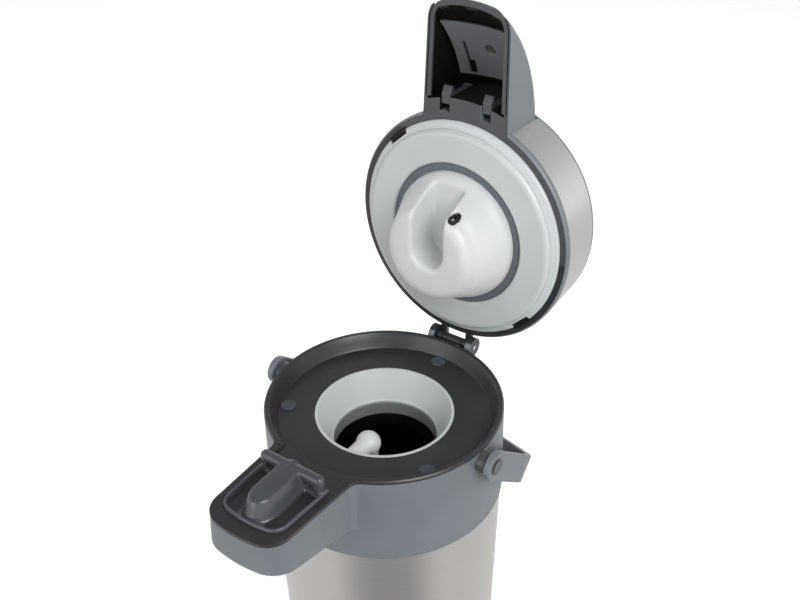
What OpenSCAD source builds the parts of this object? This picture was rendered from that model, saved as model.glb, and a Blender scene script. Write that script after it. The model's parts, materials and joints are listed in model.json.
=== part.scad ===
// Pump pot: a vacuum flask with a hinged pump lid, a spout beak, a carrying bail and a turning base.
// Origin at the centre of the base, on the surface it stands on. +Z is up and the spout points to -Y.
// The lid is drawn closed, then turned about its hinge to the open angle.

/* [Body] */
// Outer radius of the steel body
body_r = 80; // [70:0.5:95]
// Height of the bare steel body between base and collar
body_h = 225; // [150:1:260]
// Wall of the outer steel shell and of the inner flask
steel_t = 0.8; // [0.5:0.1:1.2]
// Vacuum gap between outer shell and inner flask
vacuum_gap = 5; // [3:0.5:9]
// Height of the turning base up to the steel
base_h = 22; // [18:1:30]
// Inner radius of the flask neck
neck_r = 34.6; // [31:0.1:36]

/* [Collar] */
// How much narrower the collar is at its top rim than at its lower edge
collar_taper = 2.3; // [1:0.1:4]
// Step of the collar outside the steel body
collar_step = 1; // [0.6:0.1:2]
// Wall of the collar
collar_t = 2.8; // [2.2:0.1:3.5]
// Depth of the dished deck below the rim
deck_depth = 10; // [8:0.5:12]
// How much wider the filling mouth is at the deck than the flask neck
mouth_flare = 9.7; // [8:0.1:12]
// Depth of the cone of the mouth ring below the rim
cone_depth = 29; // [26:0.5:31]
// Height from the cone's lower edge to the flask's lip, where the seal sits
seal_h = 13; // [10:0.5:16]
// Height from the flask's lip down to the collar's lower edge
shoulder_h = 24; // [21:0.5:36]

/* [Beak] */
// Reach of the beak beyond the collar's rim
beak_out = 66.3; // [56:0.5:80]
// Half width of the beak near its tip
beak_half_w = 28; // [25:0.5:31]
// Extra half width of the beak where it meets the collar
beak_flare = 2.6; // [0:0.2:4]
// Corner radius of the beak
beak_corner = 15; // [10:0.5:18]
// Radius of the hollow corner where the beak meets the collar
root_r = 9; // [5:0.5:12]
// Depth of the beak at its tip
beak_tip_depth = 25; // [22:0.5:30]
// Depth of the beak where it meets the collar
beak_root_depth = 40; // [35:0.5:46]
// Height of the spout ridge and the cross rib above the rim
ridge_h = 13; // [10:0.5:14]
// Half width of the spout ridge
ridge_half_w = 8.5; // [8:0.5:10]
// Gap between the ends of the cross rib and the sides of the beak
rib_side_gap = 5; // [4:0.5:6]
// Distance from the collar's rim to the back of the cross rib
rib_out = 9.8; // [9.8:0.1:12]
// Bore radius of the spout pipe
pipe_bore_r = 3.4; // [2.5:0.1:3.6]
// Wall of the spout pipe
pipe_t = 1.4; // [1:0.1:1.6]

/* [Lid] */
// Height of the lid's metal band above the rim
lid_h = 38; // [36:0.5:42]
// Rise of the top cover above the band
top_rise = 5; // [4:0.5:6]
// Angle that the lid stands open at, as drawn
lid_open = 91; // [60:1:91]
// Distance of the hinge pin outside the collar's rim
hinge_out = 5.6; // [5.3:0.1:7]
// Depth of the hinge pin below the rim
hinge_drop = 2.5; // [2:0.1:3]
// Radius of the hinge pin
hinge_pin_r = 1.6; // [1.2:0.1:1.8]
// Radius of the hinge knuckles
knuckle_r = 3.6; // [3.4:0.1:3.8]
// Clearance between the stopper's flange and the filling mouth
stopper_gap = 1.1; // [0.8:0.1:2.5]
// Clearance between the stopper's lower end and the flask neck
stopper_end_gap = 3.1; // [2:0.1:6]
// Length of the stopper's lower end below the cone
stopper_end_h = 11; // [7:0.5:12]
// Clearance between the stopper's channel and the elbow
channel_gap = 3.1; // [2:0.1:4]

/* [Pump] */
// Radius of the push button
button_r = 42; // [36:0.5:44]
// Travel of the push button
button_travel = 20; // [14:1:20]
// Wire diameter of the return spring
spring_wire = 1.6; // [1:0.1:2]
// Turns of the return spring
spring_turns = 7; // [5:1:9]

/* [Bail] */
// Clearance between the bail and the collar as it hangs
bail_gap = 4.9; // [4:0.1:8]
// Gap between the middle of the bail's strap and the collar at the pivots
bail_side_gap = 6.4; // [6:0.1:8]
// Distance from the pivot line to the shoulders
bail_arm = 60; // [50:1:66]
// Half length of the straight grip
grip_half = 32; // [24:1:40]
// Width of the strap
bail_w = 19.6; // [16:0.2:22]
// Thickness of the strap
bail_t = 4.6; // [3.6:0.2:5.4]
// Angle of the bail below level, as it hangs behind the body
bail_angle = 40; // [36:1:44]
// Radius of the bail's pivot studs
bail_pin_r = 4; // [3:0.1:5]

/* [Fits] */
// Clearance between pieces that are fixed together
fit = 0.1; // [0.05:0.01:0.2]
// Radial clearance of a pin in its bore
running = 0.06; // [0.03:0.01:0.09]
// Gap between surfaces that move past each other
slide_gap = 0.5; // [0.4:0.05:0.8]

/* [Hidden] */
$fn = 96;

lip_depth = cone_depth + seal_h;
collar_h = lip_depth + shoulder_h;
rim_z = base_h + body_h + collar_h;
collar_r = body_r + collar_step;
rim_r = collar_r - collar_taper;
beak_reach = rim_r + beak_out;
rib_y = rim_r + rib_out;
hinge_y = rim_r + hinge_out;
mouth_r = neck_r + mouth_flare;
stopper_r = mouth_r - stopper_gap;
stopper_end_r = neck_r - stopper_end_gap;
stopper_depth = cone_depth + stopper_end_h;
rib_half_w = beak_half_w - rib_side_gap;
plate_top = 7;
pad_h = 2;
cover_floor_z = 9;
cover_floor_t = 3;
hub_r = 9;
deck_in_r = rim_r - 8.2;
rim_in_r = rim_r - 4.2;
rim_cap = 2.5;
deck_z = -deck_depth;
deck_t = 2.4;
ring_t = 2;
cone_r = neck_r + 1.4;
neck_lip_w = 2 * steel_t + 0.6;
seal_out_r = neck_r + 3.6;
seal_top = cone_depth + 2.8;
front_bow_r = 90;
border_w = 4.6;
tray_shift = 5;
lip_top = 2.3;
tray_top = -0.8;
pad_circle_r = deck_in_r - 5.9;
pivot_y = -5.4;
pivot_z = -10;
arm_x = collar_r + bail_side_gap;
pipe_r = pipe_bore_r + pipe_t;
tube_r = pipe_bore_r + 1.1;
elbow_y = -19;
elbow_z = -cone_depth + 4;
elbow_arm_r = pipe_r + 1.6;
elbow_r = elbow_arm_r + 2;
elbow_end_y = -mouth_r + 1.3;
channel_half_w = elbow_r + channel_gap;
foot_circle_r = body_r - 22;
glide_out_r = foot_circle_r + 4;
glide_in_r = foot_circle_r - 4;
beak_open_y = -rim_r + 4.7;
pump_r = min(button_r - 2.8, stopper_r - 4);
nozzle_y = -beak_reach + 23;
nozzle_seat = -beak_tip_depth + 3;
band_taper = 1.8;
band_t = 0.8;
ring_foot = 4;
seat_gap = 0.4;
cover_r = rim_r - 5.4;
cover_z = -6.5;
gasket_out_r = mouth_r + 4;
top_z = lid_h + top_rise;
hood_wall = 2.5;
button_top = top_z + 2;
channel_top = elbow_z + elbow_r + 2.6;
channel_back = 9;

// Placing the parts

module at_rim() {
  translate([0, 0, rim_z]) children();
}

module at_lid() {
  at_rim() translate([0, hinge_y, -hinge_drop]) rotate([-lid_open, 0, 0]) translate([0, -hinge_y, hinge_drop])
    children();
}

module along_x(x0, x1, r) {
  translate([x0, 0, 0]) rotate([0, 90, 0]) cylinder(h = x1 - x0, r = r);
}

module tube_z(z0, z1, r_out, r_in) {
  translate([0, 0, z0]) difference() {
    cylinder(h = z1 - z0, r = r_out);
    translate([0, 0, -1]) cylinder(h = z1 - z0 + 2, r = r_in);
  }
}

// A closed outline turned about the axis
module turned(points) {
  rotate_extrude($fn = 128) polygon(points);
}

// A straight rod along -Y, from y0 out to y1
module along_y(y0, y1, z, r) {
  translate([0, y0, z]) rotate([90, 0, 0]) cylinder(h = y0 - y1, r = r, $fn = 64);
}

// Plan outline of the beak and of the hood over it, moved in by t
function arc_points(c, r, a0, a1, n) = [for (i = [0 : n]) c + r * [cos(a0 + (a1 - a0) * i / n), sin(a0 + (a1 - a0) * i / n)]];
function flared(p) = [p[0] * (1 + beak_flare / beak_half_w * (p[1] + beak_reach - beak_corner) / 60), p[1]];
function beak_outline(t, y_back) =
  let (
    w = beak_half_w - t,
    rc = max(beak_corner - t, 1),
    rf = front_bow_r - t,
    cy = -beak_reach + front_bow_r,
    xc = w - rc,
    yc = cy - sqrt(pow(rf - rc, 2) - xc * xc),
    turn = atan2(yc - cy, xc)
  )
  [for (p = concat(
    [[w, y_back]],
    arc_points([xc, yc], rc, 0, turn, 8),
    arc_points([0, cy], rf, turn, -180 - turn, 10),
    arc_points([-xc, yc], rc, -180 - turn, -180, 8),
    [[-w, y_back]]
  )) flared(p)];

module beak_prism(t, z0, z1, y_back = -60) {
  translate([0, 0, z0]) linear_extrude(z1 - z0) polygon(beak_outline(t, y_back));
}

// Hollow corners between the beak's sides and the collar, down to z0
module root_corners(z0, z1, r) {
  w0 = flared([beak_half_w, -r])[0];
  y0 = -sqrt(pow(r + root_r, 2) - pow(w0 + root_r, 2));
  w = flared([beak_half_w, y0])[0];
  c = [w + root_r, -sqrt(pow(r + root_r, 2) - pow(w + root_r, 2))];
  to_axis = atan2(-c[1], -c[0]);
  seam = c * r / (r + root_r);
  for (s = [0, 1]) mirror([s, 0, 0]) translate([0, 0, z0]) linear_extrude(z1 - z0) polygon(concat(
    arc_points(c, root_r, 180, to_axis, 6),
    [seam * (r - 1.2) / r, [w - 1.2, -sqrt(r * r - w * w) + 1.2], [w - 1.2, c[1]]]
  ));
}

// Plan outline of the tray inside the beak's border
module tray_prism(t, z0, z1, y_back) {
  translate([0, tray_shift, 0]) beak_prism(border_w + t, z0, z1, y_back - tray_shift);
}

// Side outline of the space above the beak's underside, moved in by t
module beak_side(t, top) {
  w = 2 * beak_half_w + 20;
  translate([-w / 2, 0, 0]) rotate([90, 0, 90]) linear_extrude(w) polygon([
    [-beak_reach - 5, top],
    [-beak_reach - 5, -beak_tip_depth + t + 3],
    [-beak_reach + t, -beak_tip_depth + t + 3],
    [-beak_reach + t + 3, -beak_tip_depth + t],
    [-beak_reach + 12, -beak_tip_depth - 1.6 + t],
    [-rim_r - 24, -beak_root_depth + 8 + t],
    [-rim_r + 2, -beak_root_depth + t],
    [-rim_r + 28.7, -beak_root_depth - 6 + t],
    [-rim_r + 28.7, top]
  ]);
}

// Base

module foot_spots() {
  children();
  for (a = [45 : 90 : 315]) rotate([0, 0, a]) translate([foot_circle_r, 0, 0]) children();
}

module foot_pads() {
  color("#26282a") foot_spots() cylinder(h = pad_h, r = 8, $fn = 48);
}

module foot_plate() {
  color("#3c4044") difference() {
    union() {
      turned([[0, 1], [body_r - 6, 1], [body_r - 4, 2.5], [body_r - 4, plate_top], [0, plate_top]]);
      translate([0, 0, 1]) cylinder(h = cover_floor_z + cover_floor_t + 2.4, r = hub_r);
    }
    foot_spots() translate([0, 0, -1]) cylinder(h = pad_h + 1, r = 8 + fit, $fn = 48);
    translate([0, 0, cover_floor_z + cover_floor_t + 0.5]) tube_z(0, 1.6, hub_r + 2, hub_r - 1.4);
    translate([0, 0, plate_top - 1]) tube_z(0, 3, glide_out_r + fit, glide_in_r - fit);
  }
}

module glide_ring() {
  color("#d8d8d4") tube_z(plate_top - 1, cover_floor_z - 0.1, glide_out_r, glide_in_r);
}

module pivot_clip() {
  color("#8a8d90") translate([0, 0, cover_floor_z + cover_floor_t + 0.6]) difference() {
    cylinder(h = 1.4, r = hub_r + 4);
    translate([0, 0, -1]) cylinder(h = 4, r = hub_r - 1.4 + fit);
    translate([0, -hub_r + 2, -1]) cube([hub_r * 2 + 12, 2 * (hub_r - 2), 4]);
  }
}

module base_cover() {
  z0 = cover_floor_z;
  inner_r = body_r - steel_t - fit;
  color("#4b4f53") difference() {
    turned([
      [0, z0], [body_r - 1.5, z0], [collar_r, z0 + 2.5], [collar_r, base_h - 0.6], [collar_r - 0.6, base_h],
      [inner_r, base_h], [inner_r, base_h + 5.5], [inner_r - 2.2, base_h + 5.5], [inner_r - 2.2, z0 + cover_floor_t],
      [0, z0 + cover_floor_t]
    ]);
    translate([0, 0, z0 - 1]) cylinder(h = cover_floor_t + 2, r = hub_r + running);
  }
}

// Vacuum flask

shell_bottom = base_h + 8;
shell_shoulder = rim_z - collar_h + 6;
neck_out_r = neck_r + neck_lip_w;
lip_z = rim_z - lip_depth;

module outer_shell() {
  r = body_r;
  t = steel_t;
  color("#b9b6b0") turned([
    [r, base_h], [r, shell_shoulder], [r - 8, shell_shoulder + 6],
    [neck_out_r + 4, shell_shoulder + 11], [neck_out_r, shell_shoulder + 13], [neck_out_r, lip_z - 1],
    [neck_out_r - t, lip_z - 1], [neck_out_r - t, shell_shoulder + 13 - t * 0.75],
    [neck_out_r + 4 - t / 2, shell_shoulder + 11 - t],
    [r - 8 - t / 2, shell_shoulder + 6 - t], [r - t, shell_shoulder - t / 2], [r - t, shell_bottom + t],
    [0, shell_bottom + t], [0, shell_bottom], [r - t - 3, shell_bottom], [r - t, shell_bottom - 2], [r - t, base_h]
  ]);
}

module inner_flask() {
  r = body_r - steel_t - vacuum_gap;
  t = steel_t;
  z0 = shell_bottom + t + vacuum_gap;
  z1 = shell_shoulder - 4;
  color("#c9c7c2") turned([
    [0, z0], [r - 8, z0], [r, z0 + 8], [r, z1], [r - 8, z1 + 6], [neck_r + t + 3, z1 + 11], [neck_r + t, z1 + 13],
    [neck_r + t, lip_z - 1], [neck_out_r, lip_z - 1], [neck_out_r, lip_z], [neck_r, lip_z],
    [neck_r, z1 + 13 - t * 0.75], [neck_r + 3, z1 + 11 - t], [r - 8 - t / 2, z1 + 6 - t], [r - t, z1 - t / 2],
    [r - t, z0 + 8 + t / 2], [r - 8 - t / 2, z0 + t], [0, z0 + t]
  ]);
}

// Collar with its beak, hinge and pivots for the bail

barrel_half = 7.5;
arm_x0 = 8;
arm_x1 = 12.4;
cheek_x0 = 12.9;
cheek_x1 = 17.6;
cheek_r = 7;
boss_r = 7.4;
deck_seat_r = rim_r - collar_t + 0.1;
pad_angles = [90, 210, 330];

module hinge_line() {
  translate([0, hinge_y, -hinge_drop]) children();
}

module knuckle_block(x0, x1, depth, r) {
  hinge_line() along_x(x0, x1, r);
  translate([x0, deck_seat_r, -hinge_drop - depth]) cube([x1 - x0, hinge_y - deck_seat_r, depth + hinge_drop - rim_cap - fit]);
}

module collar_wall() {
  z1 = -rim_cap - fit;
  turned([
    [collar_r, -collar_h], [rim_r + 0.1, z1], [rim_r - collar_t, z1],
    [rim_r - collar_t, deck_z - deck_t - 4], [body_r - 0.4, -collar_h + 14], [body_r - 5, -collar_h + 13.4],
    [body_r - 5, -collar_h + 12.4], [body_r + fit, -collar_h + 7], [body_r + fit, -collar_h]
  ]);
}

module bail_boss(side, r, x0, x1) {
  for (s = side) translate([0, pivot_y, pivot_z]) along_x(s > 0 ? x0 : -x1, s > 0 ? x1 : -x0, r);
}

module collar() {
  color("#7f858c") at_rim() difference() {
    union() {
      difference() {
        union() {
          collar_wall();
          intersection() {
            union() {
              beak_prism(0, -60, -rim_cap - fit);
              root_corners(-60, -rim_cap - fit, rim_r + 0.1);
            }
            beak_side(0, -rim_cap - fit);
            difference() {
              translate([0, 0, -70]) cylinder(h = 80, r = 200);
              translate([0, 0, -71]) cylinder(h = 82, r = rim_r - collar_t + 0.6);
            }
          }
        }
        intersection() {
          beak_prism(collar_t, -60, 5, beak_open_y);
          beak_side(collar_t, 5);
        }
      }
      for (s = [-1, 1]) {
        x0 = s > 0 ? cheek_x0 : -cheek_x1;
        x1 = s > 0 ? cheek_x1 : -cheek_x0;
        knuckle_block(x0, x1, 7, cheek_r);
      }
      knuckle_block(-barrel_half, barrel_half, 7, knuckle_r);
      bail_boss([-1, 1], boss_r, rim_r - collar_t + 1, arm_x - 3.4);
      translate([0, nozzle_y, -beak_tip_depth - 1.4]) cylinder(h = nozzle_seat + beak_tip_depth + 1.4, r = pipe_r + 5, $fn = 64);
      for (a = pad_angles) rotate([0, 0, a]) translate([pad_circle_r, 0, deck_z - deck_t - 18]) {
        cylinder(h = 17.9, r = 3.6, $fn = 32);
        translate([0, -1.2, 0]) cube([rim_r - collar_t + 1 - pad_circle_r, 2.4, 17.9]);
      }
    }
    hinge_line() along_x(-30, 30, hinge_pin_r + running);
    bail_boss([-1, 1], bail_pin_r + fit, rim_r - collar_t + 0.6, arm_x + 1);
    translate([0, nozzle_y, -50]) cylinder(h = 40, r = pipe_r + 2.4 + fit, $fn = 64);
    for (a = pad_angles) rotate([0, 0, a]) translate([pad_circle_r, 0, deck_z - deck_t - 15])
      cylinder(h = 20, r = 1.5, $fn = 32);
  }
}

module collar_screws() {
  color("#8d9094") at_rim() for (a = pad_angles) rotate([0, 0, a]) translate([pad_circle_r, 0, deck_z]) {
    translate([0, 0, -deck_t - 14]) cylinder(h = deck_t + 13, r = 1.4, $fn = 32);
    translate([0, 0, -1.25]) cylinder(h = 1.15, r = 2.8, $fn = 32);
  }
}

module hinge_pin() {
  color("#9a9da0") at_rim() hinge_line() along_x(-cheek_x1, cheek_x1, hinge_pin_r);
}

// Deck: the dark dished tray on top of the collar, with a border round the beak

module deck() {
  color("#3a3c3f") at_rim() difference() {
    union() {
      turned([
        [mouth_r + ring_t + fit, deck_z], [deck_in_r - 0.6, deck_z], [deck_in_r, deck_z + 0.7], [rim_in_r, -1.2],
        [rim_in_r + 1, -0.2], [rim_in_r + 2, 0], [rim_r - 1, 0], [rim_r, -1], [rim_r, -rim_cap],
        [rim_r - collar_t - fit, -rim_cap], [rim_r - collar_t - fit, -rim_cap - 3],
        [rim_r - collar_t - 2, -rim_cap - 3], [deck_in_r + 1, deck_z - deck_t],
        [mouth_r + ring_t + fit, deck_z - deck_t]
      ]);
      difference() {
        union() {
          beak_prism(0, -rim_cap, 0, beak_open_y);
          root_corners(-rim_cap, 0, rim_r);
        }
        translate([0, 0, -30]) cylinder(h = 60, r = rim_r - 1);
      }
    }
    tray_prism(0, -1.2, 5, -rim_r + 10.7);
    tray_prism(0, -20, 5, -rib_y + 0.1);
    for (a = pad_angles) rotate([0, 0, a]) translate([pad_circle_r, 0, deck_z]) {
      translate([0, 0, -10]) cylinder(h = 20, r = 1.5, $fn = 32);
      translate([0, 0, -1.3]) cylinder(h = 20, r = 2.9, $fn = 32);
    }
  }
}

module deck_pads() {
  color("#4a5058") at_rim() for (a = pad_angles) rotate([0, 0, a])
    translate([pad_circle_r, 0, deck_z + 0.02]) cylinder(h = 0.7, r = 5.2, $fn = 48);
}

module mouth_ring() {
  r = mouth_r;
  t = ring_t;
  under = deck_z - deck_t - 0.05;
  seat_r = seal_out_r + fit;
  color("#c3c7c6") at_rim() difference() {
    turned([
      [r, deck_z + 0.2], [r + t, deck_z + 0.2], [r + t, under], [r + t + 5, under], [r + t + 5, under - 2],
      [r + t - 0.8, under - 2], [seat_r + t + 0.6, -cone_depth], [seat_r + t, -lip_depth + 1],
      [seat_r, -lip_depth + 1], [seat_r, -seal_top], [neck_r + 0.4, -seal_top], [neck_r + 0.4, -cone_depth - 1.2],
      [cone_r, -cone_depth]
    ]);
    along_y(elbow_y, -60, elbow_z, elbow_arm_r + fit);
  }
}

module neck_seal() {
  color("#85898a") at_rim() tube_z(-lip_depth, -seal_top - 0.05, seal_out_r, neck_r + 0.2);
}

// Raised cover over the spout pipe: a rounded lip round the tray, the ridge and the cross rib with its pockets

module ridge_body(t, low) {
  r = ridge_half_w - t;
  yc = -ridge_nose + ridge_half_w;
  zc = ridge_h - ridge_half_w;
  translate([-r, yc, low]) cube([2 * r, -rib_y - t - yc, zc - low]);
  translate([0, yc, low]) cylinder(h = zc - low, r = r, $fn = 64);
  translate([0, -rib_y - t, zc]) rotate([90, 0, 0]) cylinder(h = -rib_y - t - yc, r = r, $fn = 64);
  translate([0, yc, zc]) sphere(r = r, $fn = 64);
}

rib_t = 7;
pocket_x0 = ridge_half_w + 2;
pocket_x1 = rib_half_w - 4.5;
ridge_nose = beak_reach - 17.5;

module spout_cover() {
  color("#6d7278") at_rim() difference() {
    union() {
      difference() {
        tray_prism(fit, -6, lip_top - 1, -rib_y);
        tray_prism(2.2, tray_top, 10, -rib_y + 20);
        tray_prism(2, -10, tray_top - 2, -rib_y - 2.2);
      }
      difference() {
        tray_prism(0.6, lip_top - 1, lip_top, -rib_y);
        tray_prism(2.2, 0, 10, -rib_y + 20);
      }
      ridge_body(0, tray_top - 0.4);
      translate([-rib_half_w + 3, -rib_y - rib_t, -6]) cube([2 * rib_half_w - 6, rib_t, ridge_h + 6 - 2.5]);
      for (s = [-1, 1]) translate([s * (rib_half_w - 3), -rib_y - rib_t / 2, -6])
        cylinder(h = ridge_h + 6 - 2.5, r = rib_t / 2, $fn = 32);
      translate([0, -rib_y - rib_t / 2, ridge_h - 2.5 - 1]) rotate([0, 90, 0])
        translate([0, 0, -rib_half_w + 3]) cylinder(h = 2 * rib_half_w - 6, r = rib_t / 2, $fn = 48);
      for (s = [-1, 1]) translate([s * (rib_half_w - 3), -rib_y - rib_t / 2, ridge_h - 3.5]) sphere(r = rib_t / 2, $fn = 32);
      translate([-beak_half_w + border_w + 1, -rib_y - 3, -6]) cube([2 * beak_half_w - 2 * border_w - 2, 3, 6 + lip_top - 1]);
    }
    ridge_body(1.8, -7);
    translate([-ridge_half_w + 1.8, -rib_y - 6, -7]) cube([2 * ridge_half_w - 3.6, 8, 5.4]);
    for (s = [-1, 1]) translate([s > 0 ? pocket_x0 : -pocket_x1, -rib_y - rib_t - 1, 0.8])
      cube([pocket_x1 - pocket_x0, rib_t + 2, 6.4]);
    translate([0, nozzle_y, -12]) cylinder(h = 14, r = pipe_r + 0.6, $fn = 48);
  }
}

// Liquid path: dip tube, elbow in the mouth, pipe through the beak, nozzle under its tip

function bezier(p, n, first = 0) = [for (i = [first : n])
  let (t = i / n, u = 1 - t) u * u * u * p[0] + 3 * t * u * u * p[1] + 3 * t * t * u * p[2] + t * t * t * p[3]];
pipe_crown = [-beak_reach + 35, ridge_h - 10];
pipe_path = concat(
  [[elbow_end_y + 8, elbow_z]],
  bezier([[-rim_r + 12.7, elbow_z], [-rim_r - 7.3, elbow_z], [-beak_reach + 53, pipe_crown[1]], pipe_crown], 12),
  bezier([pipe_crown, pipe_crown - [9, 0], [nozzle_y, pipe_crown[1] - 5], [nozzle_y, pipe_crown[1] - 15]], 8, 1),
  [[nozzle_y, -beak_tip_depth - 2]]
);

module elbow() {
  color("#e6e7e4") at_rim() difference() {
    union() {
      translate([0, elbow_y, elbow_z]) sphere(r = elbow_r, $fn = 64);
      translate([0, elbow_y, elbow_z - 16]) cylinder(h = 16, r = elbow_arm_r, $fn = 64);
      along_y(elbow_y, elbow_end_y, elbow_z, elbow_arm_r);
    }
    translate([0, elbow_y, elbow_z - 17]) cylinder(h = 13, r = tube_r + fit, $fn = 64);
    translate([0, elbow_y, elbow_z - 5]) cylinder(h = 5, r = pipe_bore_r, $fn = 64);
    along_y(elbow_y + 3, elbow_end_y + 9, elbow_z, pipe_bore_r);
    along_y(elbow_end_y + 8.1, elbow_end_y - 1, elbow_z, pipe_r + fit);
  }
}

module dip_tube() {
  z0 = shell_bottom + 2 * steel_t + vacuum_gap + 6;
  color("#c4c6c6") translate([0, elbow_y, 0]) tube_z(z0, rim_z + elbow_z - 4.2, tube_r, pipe_bore_r);
}

// A hollow pipe swept along points of the plane x = 0
module hollow_sweep(path, r_out, r_in, sides) {
  n = len(path);
  rings = [for (i = [0 : n - 1])
    let (
      d = path[min(i + 1, n - 1)] - path[max(i - 1, 0)],
      v = [0, -d[1], d[0]] / norm(d),
      c = [0, path[i][0], path[i][1]]
    )
    for (r = [r_out, r_in]) [for (k = [0 : sides - 1]) c + r * (cos(360 * k / sides) * [1, 0, 0] + sin(360 * k / sides) * v)]
  ];
  function at(i, wall, k) = (2 * i + wall) * sides + k % sides;
  faces = concat(
    [for (i = [0 : n - 2]) for (k = [0 : sides - 1]) each [
      [at(i, 0, k), at(i, 0, k + 1), at(i + 1, 0, k + 1)], [at(i, 0, k), at(i + 1, 0, k + 1), at(i + 1, 0, k)],
      [at(i, 1, k), at(i + 1, 1, k + 1), at(i, 1, k + 1)], [at(i, 1, k), at(i + 1, 1, k), at(i + 1, 1, k + 1)]
    ]],
    [for (k = [0 : sides - 1]) each [
      [at(0, 0, k), at(0, 1, k + 1), at(0, 0, k + 1)], [at(0, 0, k), at(0, 1, k), at(0, 1, k + 1)],
      [at(n - 1, 0, k), at(n - 1, 0, k + 1), at(n - 1, 1, k + 1)], [at(n - 1, 0, k), at(n - 1, 1, k + 1), at(n - 1, 1, k)]
    ]]
  );
  polyhedron(points = [for (ring = rings) each ring], faces = faces);
}

module spout_pipe() {
  color("#d9dad6") at_rim() hollow_sweep(pipe_path, pipe_r, pipe_bore_r, 16);
}

module pipe_seal() {
  color("#2c2d2f") at_rim() translate([0, nozzle_y, 0]) tube_z(nozzle_seat + 1.05, nozzle_seat + 3, pipe_r + 2.4, pipe_r + 0.15);
}

module nozzle() {
  r = pipe_r + 2.4;
  color("#3f4246") at_rim() translate([0, nozzle_y, 0]) difference() {
    union() {
      translate([0, 0, -beak_tip_depth - 10]) cylinder(h = nozzle_seat + 1 + beak_tip_depth + 10, r = r, $fn = 64);
      translate([0, 0, nozzle_seat]) cylinder(h = 0.8, r = r + 2.4, $fn = 64);
    }
    translate([0, 0, -beak_tip_depth - 2.2]) cylinder(h = 20, r = pipe_r + 0.15, $fn = 64);
    translate([0, 0, -beak_tip_depth - 20]) cylinder(h = 30, r = pipe_bore_r + 0.6, $fn = 64);
  }
}

// Carrying bail, drawn level towards +Y and turned down behind the body
// The slanted bars touch a circle round the collar as the bail hangs, and that sets the distance to the grip
hang_r = collar_r + bail_gap + bail_t / 2;
shoulder_y = pivot_y + bail_arm * cos(bail_angle);
hang_a = atan2(shoulder_y, arm_x) + acos(hang_r / norm([arm_x, shoulder_y]));
bail_reach = ((hang_r - grip_half * cos(hang_a)) / sin(hang_a) - pivot_y) / cos(bail_angle);

function bail_line(t) = [
  [arm_x + t, -bail_w / 2], [arm_x + t, bail_arm + t * 0.42], [grip_half + t * 0.42, bail_reach + t],
  [-grip_half - t * 0.42, bail_reach + t], [-arm_x - t, bail_arm + t * 0.42], [-arm_x - t, -bail_w / 2]
];

// A line of points with its corners rounded over a length d
function rounded(line, d) = [for (i = [0 : len(line) - 1]) each
  i == 0 || i == len(line) - 1 ? [line[i]] :
  let (p = line[i], a = line[i - 1] - p, b = line[i + 1] - p, u = p + a * d / norm(a), v = p + b * d / norm(b))
  [for (k = [0 : 4]) let (t = k / 4) (1 - t) * (1 - t) * u + 2 * t * (1 - t) * p + t * t * v]];

module bail() {
  outer = rounded(bail_line(bail_t / 2), 11);
  inner = rounded(bail_line(-bail_t / 2), 9);
  n = len(inner);
  color("#8d949b") at_rim() translate([0, pivot_y, pivot_z]) rotate([-bail_angle, 0, 0]) difference() {
    union() {
      translate([0, 0, -bail_w / 2]) linear_extrude(bail_w)
        polygon(concat([for (i = [0 : n - 1]) outer[i]], [for (i = [0 : n - 1]) inner[n - 1 - i]]));
    }
    for (s = [-1, 1]) translate([s * arm_x, 0, 0]) difference() {
      translate([-6, -bail_w, -bail_w]) cube([12, bail_w, 2 * bail_w]);
      along_x(-7, 7, bail_w / 2);
    }
    for (s = [-1, 1]) translate([s * arm_x, 0, 0]) along_x(-6, 6, bail_pin_r + running);
  }
}

module bail_studs() {
  color("#5a5d60") at_rim() for (s = [-1, 1]) bail_boss([s], bail_pin_r, rim_r - collar_t + 0.7, arm_x + bail_t / 2 + 0.3);
}

module bail_caps() {
  color("#7f858c") at_rim() for (s = [-1, 1]) bail_boss([s], bail_pin_r + 1.4, arm_x + bail_t / 2 + 0.35, arm_x + bail_t / 2 + 1.15);
}

// Lid

roof_r = 107;
roof_z = top_z - 101.8;
roof_y = -beak_reach + 2.57 + sqrt(roof_r * roof_r - pow(seat_gap - roof_z, 2));
hood_screw_y = -beak_reach + 35;
crown_r = 75;

roof_edge_r = 7;

// A solid of all that lies under the hood's curved roof, moved in by t
module roof_solid(t) {
  w = beak_half_w + 4;
  e = roof_edge_r;
  flat = beak_half_w - 5.5;
  side = [for (i = [1 : 5]) flat + e * sin(16 * i)];
  xs = concat([for (i = [0 : 4]) -side[4 - i]], [for (i = [-6 : 6]) flat * i / 6], side);
  translate([0, roof_y, roof_z]) rotate([0, 90, 0]) rotate_extrude($fn = 180) polygon(concat(
    [[0, -w], [roof_r - t - e - 7, -w]],
    [for (x = xs) let (u = max(abs(x) - flat, 0))
      [roof_r - t - crown_r + sqrt(crown_r * crown_r - x * x) - e + sqrt(e * e - u * u), x]],
    [[roof_r - t - e - 7, w], [0, w]]
  ));
}

// Square to the roof's inside, where the hood's screw goes in
module at_hood_screw() {
  translate([0, roof_y, roof_z]) rotate([asin((hood_screw_y - roof_y) / (hood_wall - roof_r)), 0, 0])
    translate([0, 0, roof_r - hood_wall]) children();
}

module hood_solid(t, low, y_back) {
  intersection() {
    beak_prism(t + 0.3, low, top_z - t, y_back);
    roof_solid(t);
  }
}

frame_in_r = rim_r - band_taper - 2.6;

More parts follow.
